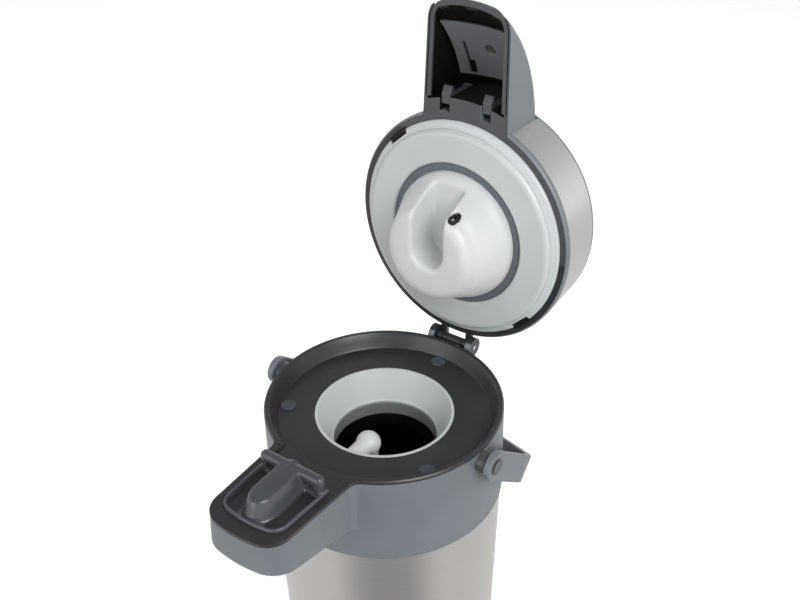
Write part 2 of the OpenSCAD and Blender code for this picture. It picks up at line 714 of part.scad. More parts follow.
module lid_arm(x0, x1) {
  difference() {
    union() {
      hinge_line() along_x(x0, x1, knuckle_r);
      translate([x0, rim_r - 4, seat_gap]) cube([x1 - x0, hinge_y - rim_r + 4 + 0.6, 3.4]);
      translate([x0, hinge_y - knuckle_r * 0.7, -hinge_drop]) cube([x1 - x0, knuckle_r * 1.4, hinge_drop + 2]);
    }
    hinge_line() along_x(-30, 30, hinge_pin_r + running);
  }
}

screw_circle_r = rim_r - 9.2;
screw_angles = [55, 125, 235, 305];

module lid_frame() {
  color("#4f545a") at_lid() difference() {
    union() {
      turned([
        [cover_r + fit, seat_gap], [rim_r - 1.2, seat_gap], [rim_r, seat_gap + 1.2], [rim_r, ring_foot],
        [rim_r - band_t - 0.4, ring_foot], [rim_r - band_taper - band_t - fit, lid_h], [frame_in_r, lid_h],
        [frame_in_r, 11.4], [screw_circle_r - 4, 11.4], [screw_circle_r - 4, 9], [cover_r + fit, 9]
      ]);
      difference() {
        hood_solid(0, seat_gap, -rim_r + 18.7);
        translate([0, 0, -1]) cylinder(h = lid_h + 1, r = frame_in_r + 0.5);
        translate([0, 0, lid_h]) cylinder(h = 30, r = rim_r - band_taper + fit);
      }
      for (s = [-1, 1]) lid_arm(s > 0 ? arm_x0 : -arm_x1, s > 0 ? arm_x1 : -arm_x0);
    }
    difference() {
      hood_solid(hood_wall, seat_gap - 2, beak_open_y);
      translate([0, 0, -10]) cylinder(h = 100, r = rib_y - 2);
    }
    difference() {
      beak_prism(1.3, seat_gap - 1, seat_gap + 1.2, -rim_r - 5.3);
      beak_prism(2.1, seat_gap - 2, seat_gap + 2, -rim_r - 1.3);
    }
    translate([-9, -rim_r - 4.8, 6]) cube([18, 20, latch_z - 8]);
    at_hood_screw() translate([0, 0, -1.5]) cylinder(h = 3.4, r = 1.5, $fn = 32);
    for (a = screw_angles) rotate([0, 0, a]) translate([screw_circle_r, 0, 5]) cylinder(h = 10, r = 1.7, $fn = 32);
    latch_ways();
  }
}

module lid_band() {
  color("#c8c9ca") at_lid() difference() {
    turned([
      [rim_r, ring_foot + 0.05], [rim_r - band_taper, lid_h], [rim_r - band_taper - band_t, lid_h],
      [rim_r - band_t, ring_foot + 0.05]
    ]);
    beak_prism(0.3 - fit, -1, 60, -rim_r + 18.7);
  }
}

module lid_top() {
  r = rim_r - band_taper;
  b = button_r + slide_gap;
  skin = 2.4;
  color("#565b61") at_lid() difference() {
    union() {
      turned([
        [r, lid_h + 0.05], [r, lid_h + 1.6], [r - 3, top_z - 0.6], [r - 5, top_z], [b + 1.5, top_z], [b, top_z - 1],
        [b, 12], [b + 2, 12], [b + 2, top_z - skin], [frame_in_r - fit - 2, top_z - skin],
        [frame_in_r - fit - 2, lid_h - 3], [frame_in_r - fit, lid_h - 3], [frame_in_r - fit, lid_h + 0.05]
      ]);
      for (a = screw_angles) rotate([0, 0, a]) translate([screw_circle_r, 0, 11.45])
        cylinder(h = top_z - skin + 1 - 11.45, r = 3.2, $fn = 32);
    }
    for (a = screw_angles) rotate([0, 0, a]) translate([screw_circle_r, 0, 11]) cylinder(h = 14, r = 1.5, $fn = 32);
    lock_way();
    latch_ways();
  }
}

// Light underside cover with its rolled edge and the round opening for the stopper
module inner_cover() {
  r = cover_r;
  color("#c2c6c8") at_lid() difference() {
    turned([
      [r, 5.9], [r, -0.6], [r - 1.2, -1.8], [r - 2.6, -2.2], [r - 4.6, -3.4], [r - 6, -5.6], [r - 8.5, cover_z],
      [gasket_out_r + 1, cover_z], [gasket_out_r, cover_z + 1], [gasket_out_r, 8], [gasket_out_r + 1.8, 8],
      [gasket_out_r + 1.8, cover_z + 2], [r - 8, cover_z + 2], [r - 4.4, -3.2], [r - 3.6, -1], [r - 1.8, -0.2], [r - 1.8, 5.9]
    ]);
    for (s = [45, 228]) rotate([0, 0, s]) translate([r - 3, -8.2, -4]) cube([7, 16.4, 6]);
  }
}

module snap_tabs() {
  color("#3a3d41") at_lid() for (s = [45, 228]) intersection() {
    turned([[cover_r - 1.7, -0.2], [cover_r + 1.6, -0.2], [cover_r + 1.6, seat_gap - 0.05], [cover_r - 0.2, seat_gap - 0.05], [cover_r - 0.2, 1.9], [cover_r - 1.7, 1.9]]);
    rotate([0, 0, s]) translate([cover_r - 10, -8, -10]) cube([20, 16, 20]);
  }
}

module lid_gasket() {
  color("#5b6166") at_lid() turned([
    [stopper_r + 0.1, cover_z + 1.2], [gasket_out_r - 1.6, cover_z + 1.2], [gasket_out_r - 0.1, cover_z + 2],
    [gasket_out_r - 0.1, cover_z + 5], [stopper_r + 0.1, cover_z + 5]
  ]);
}

stopper_top = 6;
bellows_z0 = stopper_top - 1.4;
plunger_z = 26;
spring_r = 15;

module stopper() {
  t = 2.2;
  e = stopper_end_r;
  z_end = -stopper_depth;
  color("#dfe1e1") at_lid() difference() {
    union() {
      turned([
        [0, z_end], [e - 6, z_end], [e - 2.4, z_end + 1.3], [e - 0.4, z_end + 4], [e + 0.6, z_end + 8],
        [cone_r - 1.6, -cone_depth + 1], [stopper_r - 3, deck_z - 4], [stopper_r - 0.6, deck_z + 0.6],
        [stopper_r, deck_z + 2], [stopper_r, cover_z + 5], [gasket_out_r - 0.1, cover_z + 5.1],
        [gasket_out_r - 0.1, stopper_top], [stopper_r - t, stopper_top], [stopper_r - t, bellows_z0],
        [pump_r - 9, bellows_z0], [pump_r - 9, bellows_z0 - 1.6], [stopper_r - t, bellows_z0 - 1.6],
        [stopper_r - t, deck_z + 0.4], [stopper_r - 3 - t, deck_z - 3.6], [cone_r - 1.6 - t, -cone_depth + 1.6],
        [e + 0.4 - t, z_end + 8], [e - 3.4, z_end + 3.4], [e - 7, z_end + t], [0, z_end + t]
      ]);
      channel_wall();
      translate([0, 0, channel_top + 0.2]) cylinder(h = 1.8, r = spring_r + 3);
    }
    channel_cut();
    air_way(2.5);
  }
}

// The air hole in the front shoulder of the stopper, beside the channel
module air_way(r, near = -4, far = 6) {
  rotate([0, 0, -61]) translate([stopper_end_r + near, 0, -stopper_depth + 8]) {
    for (z = [-2, 2]) translate([0, 0, z]) along_x(0, far - near, r);
    translate([0, -r, -2]) cube([far - near, 2 * r, 4]);
  }
}

module channel_plan(w, z0, z1) {
  translate([0, 0, z0]) {
    translate([0, channel_back - channel_half_w, 0]) cylinder(h = z1 - z0, r = w, $fn = 64);
    translate([-w, -60, 0]) cube([2 * w, 60 + channel_back - channel_half_w, z1 - z0]);
  }
}

module channel_cut() {
  channel_plan(channel_half_w, -stopper_depth - 5, channel_top);
}

module channel_wall() {
  intersection() {
    channel_plan(channel_half_w + 2, -stopper_depth + 1, channel_top + 2);
    turned([
      [0, -stopper_depth + 0.6], [stopper_end_r - 4, -stopper_depth + 1.6], [stopper_end_r, -stopper_depth + 8],
      [cone_r - 2.2, -cone_depth + 1], [stopper_r - 3.6, deck_z - 3.6], [0, deck_z - 2]
    ]);
  }
}

// Pump: bellows with its return spring under the plunger and the push button

module bellows() {
  n = 5;
  r1 = pump_r;
  r0 = r1 - 7;
  step = (plunger_z - 0.4 - bellows_z0) / n;
  outer = [for (i = [0 : n - 1]) each [[r0, bellows_z0 + step * i], [r1, bellows_z0 + step * (i + 0.5)]]];
  inner = [for (i = [0 : n - 1]) each [[r1 - 1.2, bellows_z0 + step * (n - i - 0.5)], [r0 - 1.2, bellows_z0 + step * (n - i - 1)]]];
  color("#8f9396") at_lid() turned(concat(outer, [[r0, plunger_z - 0.4], [r0 - 1.2, plunger_z - 0.4]], inner));
}

module tube_sweep(points, r, sides) {
  n = len(points);
  rings = [for (i = [0 : n - 1])
    let (
      a = points[max(i - 1, 0)],
      b = points[min(i + 1, n - 1)],
      d = (b - a) / norm(b - a),
      u0 = cross(d, [0, 0, 1]),
      u = u0 / norm(u0),
      v = cross(d, u)
    )
    [for (k = [0 : sides - 1]) points[i] + r * (cos(360 * k / sides) * u + sin(360 * k / sides) * v)]
  ];
  pts = [for (ring = rings) each ring];
  faces = concat(
    [[for (k = [0 : sides - 1]) k]],
    [for (i = [0 : n - 2]) for (k = [0 : sides - 1]) each [
      [i * sides + k, (i + 1) * sides + k, (i + 1) * sides + (k + 1) % sides],
      [i * sides + k, (i + 1) * sides + (k + 1) % sides, i * sides + (k + 1) % sides]
    ]],
    [[for (k = [0 : sides - 1]) (n - 1) * sides + sides - 1 - k]]
  );
  polyhedron(points = pts, faces = faces);
}

module coil(r, wire, turns, z0, z1) {
  n = turns * 8;
  tube_sweep([for (i = [0 : n]) [r * cos(45 * i), r * sin(45 * i), z0 + wire / 2 + (z1 - z0 - wire) * i / n]], wire / 2, 6);
}

module return_spring() {
  color("#aeb1b3") at_lid() coil(spring_r, spring_wire, spring_turns, channel_top + 2.02, plunger_z - 0.02);
}

module plunger() {
  color("#5b6166") at_lid() {
    translate([0, 0, plunger_z]) cylinder(h = 2.4, r = pump_r - 2);
    tube_z(plunger_z + 2.4, button_top - 4, 9, 6);
    tube_z(plunger_z - 8, plunger_z, 12.6, 10.6);
  }
}

module push_button() {
  r = button_r;
  color("#6a7076") at_lid() difference() {
    turned([
      [0, button_top - 1.6], [r - 16, button_top - 1], [r - 4, button_top], [r - 1.4, button_top - 0.4], [r, button_top - 1.8],
      [r, plunger_z + 3], [r - 2, plunger_z + 3], [r - 2, button_top - 4], [0, button_top - 4]
    ]);
    translate([0, 0, button_top - 1.7]) cylinder(h = 5, r = 16 + fit);
  }
}

module button_badge() {
  color("#b8babc") at_lid() translate([0, 0, button_top - 1.7]) cylinder(h = 0.7, r = 16);
}

// Lock slide on the lid, behind the button
lock_y = button_r + 14;
lock_travel = 5;

module lock_way() {
  translate([-5 - fit, lock_y - 3 - lock_travel - slide_gap, lid_h - 2]) cube([10 + 2 * fit, 6 + lock_travel + 2 * slide_gap, 20]);
}

module lock_slider() {
  color("#a7402c") at_lid() {
    translate([-9, lock_y - 5, top_z + 0.15]) cube([18, 10, 1.6]);
    for (i = [-1 : 1]) translate([-7, lock_y + i * 2.6 - 0.6, top_z + 1.75]) cube([14, 1.2, 0.6]);
    translate([-5, lock_y - 3, top_z - 4]) cube([10, 6, 4.15]);
    translate([-8, lock_y - 5, top_z - 4.2]) cube([16, 10, 1.6]);
  }
}

// Latch: a plate that slides in the lid, with a thumb grip on top and two hooks that reach under the cross rib
latch_z = 26;
latch_travel = 4;
latch_half_w = rib_half_w - 5;
latch_front = -rib_y + 4;
latch_back = -button_r - 16;
hook_x0 = pocket_x0 + 1;
hook_x1 = pocket_x1 - 1;
grip_y = latch_back - 9;

module hook_profile(g) {
  polygon([
    [latch_front - g, latch_z + 3], [latch_front - g, 5.4 + g], [-rib_y - 3 - g, 5.4 + g], [-rib_y - 3 - g, 3.6 - g],
    [-rib_y + 1 - g, 1.4 - g], [latch_front + 3.4 + g, 1.4 - g], [latch_front + 3.4 + g, latch_z + 3]
  ]);
}

module latch_ways() {
  for (s = [-1, 1]) translate([s > 0 ? hook_x0 - slide_gap : -hook_x1 - slide_gap, latch_front - 4, -1])
    cube([hook_x1 - hook_x0 + 2 * slide_gap, latch_travel + 7.4 + slide_gap, latch_z + 4]);
  translate([-latch_half_w - slide_gap, latch_front - slide_gap, latch_z - 0.3]) cube([2 * (latch_half_w + slide_gap), 20, 3.6]);
  translate([-5 - slide_gap, grip_y - 2 - slide_gap, latch_z + 1]) cube([10 + 2 * slide_gap, 4 + latch_travel + 2 * slide_gap, 30]);
}

module latch() {
  color("#454a4f") at_lid() {
    translate([-latch_half_w, latch_front, latch_z]) cube([2 * latch_half_w, latch_back - latch_front, 3]);
    for (s = [-1, 1]) translate([s > 0 ? hook_x0 : -hook_x1, 0, 0]) rotate([90, 0, 90])
      linear_extrude(hook_x1 - hook_x0) hook_profile(0);
    translate([-5, grip_y - 2, latch_z + 2]) cube([10, 4, top_z - latch_z]);
    translate([-9, grip_y - 4, top_z + 0.15]) cube([18, 9, 2]);
    translate([-3.5, latch_back - 1.5, latch_z - 2.6]) cube([7, 1.5, 5.6]);
  }
}

module latch_spring() {
  color("#aeb1b3") at_lid() translate([0, latch_back, latch_z + 0.2]) rotate([-90, 0, 0])
    coil(2.6, 0.7, 5, 0.02, -latch_back - button_r - slide_gap - 2.1);
}

// Inner plate of the hood with its screw and two slots
plate_x = beak_half_w - 4;

module hood_plate() {
  color("#54595e") at_lid() difference() {
    intersection() {
      beak_prism(hood_wall + 0.5, 6, top_z, -rib_y - 0.4);
      roof_solid(hood_wall + fit);
      translate([-plate_x, -beak_reach + 19, 6]) cube([2 * plate_x, 60, 60]);
    }
    roof_solid(hood_wall + 2.1);
    for (s = [-1, 1]) {
      translate([s * (plate_x - 7) - 1, -beak_reach + 33, 10]) cube([2, 20, 40]);
      translate([s > 0 ? plate_x - 11 : -plate_x + 6, -beak_reach + 46, 10]) cube([5, 9, 40]);
    }
    at_hood_screw() translate([0, 0, -6]) cylinder(h = 9, r = 3.6, $fn = 48);
  }
}

module hood_screw() {
  color("#c9cbcd") at_lid() at_hood_screw() {
    translate([0, 0, -1.65]) cylinder(h = 1.4, r = 2.7, $fn = 48);
    translate([0, 0, -0.5]) cylinder(h = 2.3, r = 1.4, $fn = 32);
  }
}

module air_grommet() {
  color("#4b4f53") at_lid() difference() {
    air_way(2.4, -2.6, 0.8);
    air_way(1.3);
  }
}

module lid_screws() {
  color("#8d9094") at_lid() for (a = screw_angles) rotate([0, 0, a]) translate([screw_circle_r, 0, 0]) {
    translate([0, 0, 7.4]) cylinder(h = 1.6, r = 2.9, $fn = 32);
    translate([0, 0, 8.8]) cylinder(h = 14, r = 1.4, $fn = 32);
  }
}

foot_plate();
foot_pads();
glide_ring();
base_cover();
pivot_clip();
outer_shell();
inner_flask();
collar();
collar_screws();
deck();
deck_pads();
mouth_ring();
neck_seal();
spout_cover();
dip_tube();
elbow();
spout_pipe();
pipe_seal();
nozzle();
hinge_pin();
bail();
bail_studs();
bail_caps();
lid_frame();
lid_band();
lid_top();
inner_cover();
snap_tabs();
lid_gasket();
stopper();
air_grommet();
bellows();
return_spring();
plunger();
push_button();
button_badge();
lock_slider();
hood_plate();
hood_screw();
latch();
latch_spring();
lid_screws();
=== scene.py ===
import json
import math

import bmesh
import bpy
from mathutils import Matrix, Vector

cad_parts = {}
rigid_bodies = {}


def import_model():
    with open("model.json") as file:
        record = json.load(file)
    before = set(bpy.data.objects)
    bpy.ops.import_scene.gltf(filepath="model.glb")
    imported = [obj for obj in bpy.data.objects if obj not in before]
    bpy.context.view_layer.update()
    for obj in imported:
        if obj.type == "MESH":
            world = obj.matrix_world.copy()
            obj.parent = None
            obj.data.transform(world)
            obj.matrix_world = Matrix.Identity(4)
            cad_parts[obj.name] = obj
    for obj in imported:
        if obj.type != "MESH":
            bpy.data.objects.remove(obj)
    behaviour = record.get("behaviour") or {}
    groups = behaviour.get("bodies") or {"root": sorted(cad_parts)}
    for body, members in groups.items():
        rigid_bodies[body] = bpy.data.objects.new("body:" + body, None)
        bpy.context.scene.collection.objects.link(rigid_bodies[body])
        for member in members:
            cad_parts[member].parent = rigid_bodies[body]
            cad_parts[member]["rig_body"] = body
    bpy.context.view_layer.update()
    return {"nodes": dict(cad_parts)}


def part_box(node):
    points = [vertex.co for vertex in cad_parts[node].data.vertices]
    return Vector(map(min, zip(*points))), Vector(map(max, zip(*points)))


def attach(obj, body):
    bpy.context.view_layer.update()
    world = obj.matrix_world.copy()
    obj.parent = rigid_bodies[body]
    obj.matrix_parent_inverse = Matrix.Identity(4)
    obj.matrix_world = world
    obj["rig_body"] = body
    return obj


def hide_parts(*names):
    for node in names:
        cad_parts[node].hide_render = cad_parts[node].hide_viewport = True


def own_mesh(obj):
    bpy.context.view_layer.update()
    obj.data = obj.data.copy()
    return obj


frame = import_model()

mm = 0.001
rimMm = 313.0  # the collar's rim above the table
hingeDrop = 2.5  # the lid hinge's axis below the rim
hingePlace = Vector((0, 0.0843, 0.3105))
lidAngle = math.radians(91)
print("pump pot: CAD frame loaded,", len(frame["nodes"]), "nodes")


# colours and shader nodes

def linear(hexColour):
    parts = [int(hexColour[i:i + 2], 16) / 255 for i in (1, 3, 5)]
    return tuple(c / 12.92 if c <= 0.04045 else ((c + 0.055) / 1.055) ** 2.4 for c in parts) + (1.0,)


def addNode(tree, kind, settings=None, links=None):
    node = tree.nodes.new(kind)
    for key, value in (settings or {}).items():
        if isinstance(key, int) or key in node.inputs:
            node.inputs[key].default_value = value
        else:
            setattr(node, key, value)
    for key, source in (links or {}).items():
        tree.links.new(source, node.inputs[key])
    return node


def startMaterial(name):
    material = bpy.data.materials.new(name)
    material.use_nodes = True
    tree = material.node_tree
    shader = next(n for n in tree.nodes if n.type == "BSDF_PRINCIPLED")
    place = addNode(tree, "ShaderNodeTexCoord").outputs["Object"]
    return material, tree, shader, place


def twoTone(tree, factor, first, second, spread):
    ramp = addNode(tree, "ShaderNodeValToRGB", links={"Fac": factor})
    ramp.color_ramp.elements[0].position = 0.5 - spread
    ramp.color_ramp.elements[1].position = 0.5 + spread
    ramp.color_ramp.elements[0].color = linear(first)
    ramp.color_ramp.elements[1].color = linear(second)
    return ramp.outputs["Color"]


mouldDetail = {"toneSpread": 0.22, "roughSpread": 0.05, "grainDepthMm": 0.05, "bevelSamples": 6}
steelDetail = {"toneSpread": 0.3, "roughLess": 0.06, "roughMore": 0.08, "scratchDepthMm": 0.02, "scratchesPerMetre": 12}
rubberDetail = {"toneSpread": 0.25, "bump": 0.12, "dustDepthMm": 0.05}


def mouldedPlastic(name, look):
    # a spark-eroded mould leaves a fine even grain, so the highlight is wide and soft; edges keep a small radius
    detail = mouldDetail
    material, tree, shader, place = startMaterial(name)
    cloud = addNode(tree, "ShaderNodeTexNoise", {"Scale": 1 / (look["cloudMm"] * mm), "Detail": 3.0}, {"Vector": place})
    colour = twoTone(tree, cloud.outputs["Fac"], look["low"], look["high"], detail["toneSpread"])
    tree.links.new(colour, shader.inputs["Base Color"])
    grain = addNode(tree, "ShaderNodeTexNoise", {"Scale": 1 / (look["grainMm"] * mm), "Detail": 2.0}, {"Vector": place})
    rough = addNode(tree, "ShaderNodeMapRange", {"To Min": look["rough"] - detail["roughSpread"],
                                                 "To Max": look["rough"] + detail["roughSpread"]},
                    {"Value": grain.outputs["Fac"]})
    tree.links.new(rough.outputs["Result"], shader.inputs["Roughness"])
    edge = addNode(tree, "ShaderNodeBevel", {"samples": detail["bevelSamples"], "Radius": look["edgeMm"] * mm})
    bump = addNode(tree, "ShaderNodeBump", {"Strength": look["bump"], "Distance": detail["grainDepthMm"] * mm},
                   {"Height": grain.outputs["Fac"], "Normal": edge.outputs["Normal"]})
    tree.links.new(bump.outputs["Normal"], shader.inputs["Normal"])
    shader.inputs["IOR"].default_value = look["ior"]
    return material


def brushedSteel(name, look):
    # an abrasive belt leaves long fine scratches round the piece, which stretch the highlight into soft bands;
    # they are drawn coarser than real ones, so that they show
    detail = steelDetail
    along = detail["scratchesPerMetre"]
    material, tree, shader, place = startMaterial(name)
    turned = addNode(tree, "ShaderNodeMapping", {"Rotation": (math.radians(look["tilt"]), 0, 0)}, {"Vector": place})
    stretched = addNode(tree, "ShaderNodeMapping", {"Scale": (along, along, 1 / (look["scratchMm"] * mm))},
                        {"Vector": turned.outputs["Vector"]})
    scratch = addNode(tree, "ShaderNodeTexNoise", {"Scale": 1.0, "Detail": 6.0, "Roughness": 0.65},
                      {"Vector": stretched.outputs["Vector"]})
    colour = twoTone(tree, scratch.outputs["Fac"], look["low"], look["high"], detail["toneSpread"])
    tree.links.new(colour, shader.inputs["Base Color"])
    rough = addNode(tree, "ShaderNodeMapRange", {"To Min": look["rough"] - detail["roughLess"],
                                                 "To Max": look["rough"] + detail["roughMore"]},
                    {"Value": scratch.outputs["Fac"]})
    tree.links.new(rough.outputs["Result"], shader.inputs["Roughness"])
    bump = addNode(tree, "ShaderNodeBump", {"Strength": look["bump"], "Distance": detail["scratchDepthMm"] * mm},
                   {"Height": scratch.outputs["Fac"]})
    tree.links.new(bump.outputs["Normal"], shader.inputs["Normal"])
    shader.inputs["Metallic"].default_value = 1.0
    return material


def siliconeRubber(name, look):
    # cured silicone is matt and slightly dusty, with almost no grain
    detail = rubberDetail
    material, tree, shader, place = startMaterial(name)
    dust = addNode(tree, "ShaderNodeTexNoise", {"Scale": 1 / (look["dustMm"] * mm), "Detail": 4.0}, {"Vector": place})
    colour = twoTone(tree, dust.outputs["Fac"], look["low"], look["high"], detail["toneSpread"])
    tree.links.new(colour, shader.inputs["Base Color"])
    bump = addNode(tree, "ShaderNodeBump", {"Strength": detail["bump"], "Distance": detail["dustDepthMm"] * mm},
                   {"Height": dust.outputs["Fac"]})
    tree.links.new(bump.outputs["Normal"], shader.inputs["Normal"])
    shader.inputs["Roughness"].default_value = look["rough"]
    return material


# finishes: sRGB colours, sizes in millimetres
plasticLooks = {
    "slateAbs": {"low": "#6a7076", "high": "#72787f", "rough": 0.4, "cloudMm": 40,
                 "grainMm": 0.7, "bump": 0.25, "edgeMm": 0.7, "ior": 1.53},  # satin blue-grey of collar and bail
    "charcoalAbs": {"low": "#26272a", "high": "#2d2f31", "rough": 0.36, "cloudMm": 30,
                    "grainMm": 0.8, "bump": 0.3, "edgeMm": 0.5, "ior": 1.53},  # dark tray with a soft sheen
    # near-black: painted shade in the hood cavity, also used on the snap tabs
    "shadowBlackAbs": {"low": "#060607", "high": "#0a0b0b", "rough": 0.55, "cloudMm": 30,
                 "grainMm": 0.8, "bump": 0.2, "edgeMm": 0.5, "ior": 1.35},  # hood cavity, nearly without gloss
    "ridgeAbs": {"low": "#45484d", "high": "#4c5055", "rough": 0.24, "cloudMm": 30,
                 "grainMm": 0.7, "bump": 0.15, "edgeMm": 0.5, "ior": 1.53},  # glossiest, bright along its crown
    # on the bail caps and the collar's pivot bosses this dark grey is partly their own tone and partly painted shade
    "rimAbs": {"low": "#3f4245", "high": "#46494c", "rough": 0.36, "cloudMm": 30,
               "grainMm": 0.8, "bump": 0.3, "edgeMm": 0.4, "ior": 1.53},  # dark grey rim, latch and bail caps
    "plateAbs": {"low": "#808286", "high": "#888a8e", "rough": 0.4, "cloudMm": 30,
                 "grainMm": 0.7, "bump": 0.2, "edgeMm": 0.3, "ior": 1.53},  # grey plate in the hood's shade
    "lidAbs": {"low": "#70757a", "high": "#787d82", "rough": 0.4, "cloudMm": 40,
               "grainMm": 0.7, "bump": 0.25, "edgeMm": 0.8, "ior": 1.53},  # satin grey of the lid
    "paleAbs": {"low": "#c0c4c5", "high": "#c8cccd", "rough": 0.34, "cloudMm": 50,
                "grainMm": 0.6, "bump": 0.12, "edgeMm": 0.8, "ior": 1.52},  # pale satin, an even soft light
    "whitePolypropylene": {"low": "#ced1d1", "high": "#d6d9d8", "rough": 0.36, "cloudMm": 40,
                           "grainMm": 0.6, "bump": 0.1, "edgeMm": 0.8, "ior": 1.49},  # waxy white stopper
    "naturalPolypropylene": {"low": "#c6c9c7", "high": "#d0d2cf", "rough": 0.3, "cloudMm": 30,
                             "grainMm": 0.6, "bump": 0.1, "edgeMm": 0.3, "ior": 1.49},  # milky tube
    "brickAbs": {"low": "#98412f", "high": "#a34a36", "rough": 0.4, "cloudMm": 20,
                 "grainMm": 0.7, "bump": 0.2, "edgeMm": 0.4, "ior": 1.53},  # dull red lock slider
}
steelLooks = {
    # warm brushed body
    "bodySteel": {"low": "#b9b7b5", "high": "#c9c7c5", "rough": 0.3, "scratchMm": 0.5, "bump": 0.12, "tilt": 0},
    # neutral brushed lid band
    "bandSteel": {"low": "#bcbcbc", "high": "#cccccc", "rough": 0.3, "scratchMm": 0.5, "bump": 0.12, "tilt": 91},
    # darker steel for the flask's inside: painted shade of its deep interior
    "flaskShadeSteel": {"low": "#6e6c68", "high": "#7e7c78", "rough": 0.3, "scratchMm": 0.8, "bump": 0.08, "tilt": 0},
    # drawn wire and pins
    "pinSteel": {"low": "#b9bbbd", "high": "#cccdce", "rough": 0.25, "scratchMm": 0.6, "bump": 0.05, "tilt": 90},
    # bright plated screw
    "screwZinc": {"low": "#e2e3e4", "high": "#efeff0", "rough": 0.45, "scratchMm": 0.6, "bump": 0.05, "tilt": 90},
}
rubberLooks = {
    # blue-grey deck pads
    "greySilicone": {"low": "#3d444b", "high": "#474e55", "rough": 0.5, "dustMm": 1.5},
    # grey ring round the stopper
    "paleSilicone": {"low": "#596066", "high": "#62696f", "rough": 0.5, "dustMm": 1.5},
    # seal and bellows
    "midSilicone": {"low": "#6f7372", "high": "#7a7e7d", "rough": 0.55, "dustMm": 1.5},
    # feet and grommets
    "blackRubber": {"low": "#18191a", "high": "#1f2021", "rough": 0.6, "dustMm": 1.2},
}
finish = {}
for name, look in plasticLooks.items():
    finish[name] = mouldedPlastic(name, look)
for name, look in steelLooks.items():
    finish[name] = brushedSteel(name, look)
for name, look in rubberLooks.items():
    finish[name] = siliconeRubber(name, look)
print("pump pot: finishes made,", len(finish))

finishOfNode = {
    "foot_plate": "charcoalAbs", "foot_pads": "blackRubber", "glide_ring": "naturalPolypropylene",
    "base_cover": "slateAbs", "pivot_clip": "pinSteel", "outer_shell": "bodySteel", "inner_flask": "flaskShadeSteel",
    "collar": "slateAbs",
    "collar_screws": "pinSteel", "deck": "charcoalAbs", "deck_pads": "greySilicone", "mouth_ring": "paleAbs",
    "neck_seal": "midSilicone", "spout_cover": "ridgeAbs", "dip_tube": "naturalPolypropylene",
    "elbow": "whitePolypropylene", "spout_pipe": "naturalPolypropylene", "pipe_seal": "blackRubber",
    "nozzle": "charcoalAbs", "hinge_pin": "pinSteel", "bail": "slateAbs", "bail_studs": "charcoalAbs",
    "bail_caps": "rimAbs", "lid_frame": "lidAbs", "lid_band": "bandSteel", "lid_top": "lidAbs",
    "inner_cover": "paleAbs", "snap_tabs": "shadowBlackAbs", "lid_gasket": "paleSilicone", "stopper": "whitePolypropylene",
    "air_grommet": "blackRubber", "bellows": "midSilicone", "return_spring": "pinSteel", "plunger": "lidAbs",
    "push_button": "slateAbs", "button_badge": "bandSteel", "lock_slider": "brickAbs", "hood_plate": "plateAbs",
    "hood_screw": "screwZinc", "latch": "rimAbs", "latch_spring": "pinSteel", "lid_screws": "pinSteel",
}
for name, node in frame["nodes"].items():
    node.data.materials.clear()
    node.data.materials.append(finish[finishOfNode[name]])
print("pump pot: finishes on the CAD nodes")

bodyOfNode = {name: node["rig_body"] for name, node in frame["nodes"].items()}


# making pieces

def cadCopy(nodeName, joined=0.4):
    # a CAD node is loose triangles: a merged copy, with its flat areas joined
    mesh = bmesh.new()
    mesh.from_mesh(frame["nodes"][nodeName].data)
    bmesh.ops.remove_doubles(mesh, verts=mesh.verts, dist=0.002 * mm)
    if joined:
        bmesh.ops.dissolve_limit(mesh, angle_limit=math.radians(joined), verts=mesh.verts, edges=mesh.edges)
    return mesh


def newPiece(name, mesh, finishes):
    data = bpy.data.meshes.new(name)
    mesh.to_mesh(data)
    mesh.free()
    for key in finishes:
        data.materials.append(finish[key])
    piece = bpy.data.objects.new(name, data)
    bpy.context.scene.collection.objects.link(piece)
    return piece


def settle(piece):
    bpy.context.view_layer.update()
    graph = bpy.context.evaluated_depsgraph_get()
    data = bpy.data.meshes.new_from_object(piece.evaluated_get(graph))
    piece.modifiers.clear()
    before, piece.data = piece.data, data
    data.name = piece.name
    bpy.data.meshes.remove(before)
    return piece


def soften(piece, angle=38):
    piece.data.shade_smooth()
    piece.data.set_sharp_from_angle(angle=math.radians(angle))
    weighted = piece.modifiers.new("weighted", "WEIGHTED_NORMAL")
    weighted.keep_sharp = True
    return settle(piece)


def stand(piece, nodeName):
    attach(piece, bodyOfNode[nodeName])
    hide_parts(nodeName)
    return piece


def paint(piece, rule):
    for face in piece.data.polygons:
        face.material_index = rule(face.center / mm, face.normal)


def roundEdges(piece, radius, steps=2, angle=28):
    bevel = piece.modifiers.new("round", "BEVEL")
    bevel.width, bevel.segments = radius * mm, steps
    bevel.limit_method, bevel.angle_limit = "ANGLE", math.radians(angle)
    bevel.use_clamp_overlap = True
    return settle(piece)


def lidPlace(p):
    # millimetres in the closed lid's own frame, for a point of the open lid
    y, z = p[1] - hingePlace.y / mm, p[2] - hingePlace.z / mm
    c, s = math.cos(lidAngle), math.sin(lidAngle)
    return p[0], hingePlace.y / mm + c * y - s * z, s * y + c * z - hingeDrop


# the beak's outline and underside in millimetres, as the frame has them; the underside's heights are from the rim
beakLook = {"reach": 145.0, "halfWidth": 28.0, "flare": 2.6, "flareLength": 60.0, "corner": 15.0, "leastCorner": 1.0,
            "bow": 90.0, "underside": [(-145, -24.6), (-133, -26.6), (-102.7, -32), (-76.7, -40)],
            "undersideRadius": 5.0, "rootRadius": 0.4, "arcSteps": 7, "floorInset": 11.0, "topDepth": 2.6,
            "middle": -110.0, "seam": 94.0, "fade": 15.0, "wallFlare": 2.5, "tipDrop": 1.5}


def beakWidth(y, halfWidth):
    look = beakLook
    past = (y + look["reach"] - look["corner"]) / look["flareLength"]
    return halfWidth * (1 + look["flare"] / look["halfWidth"] * past)


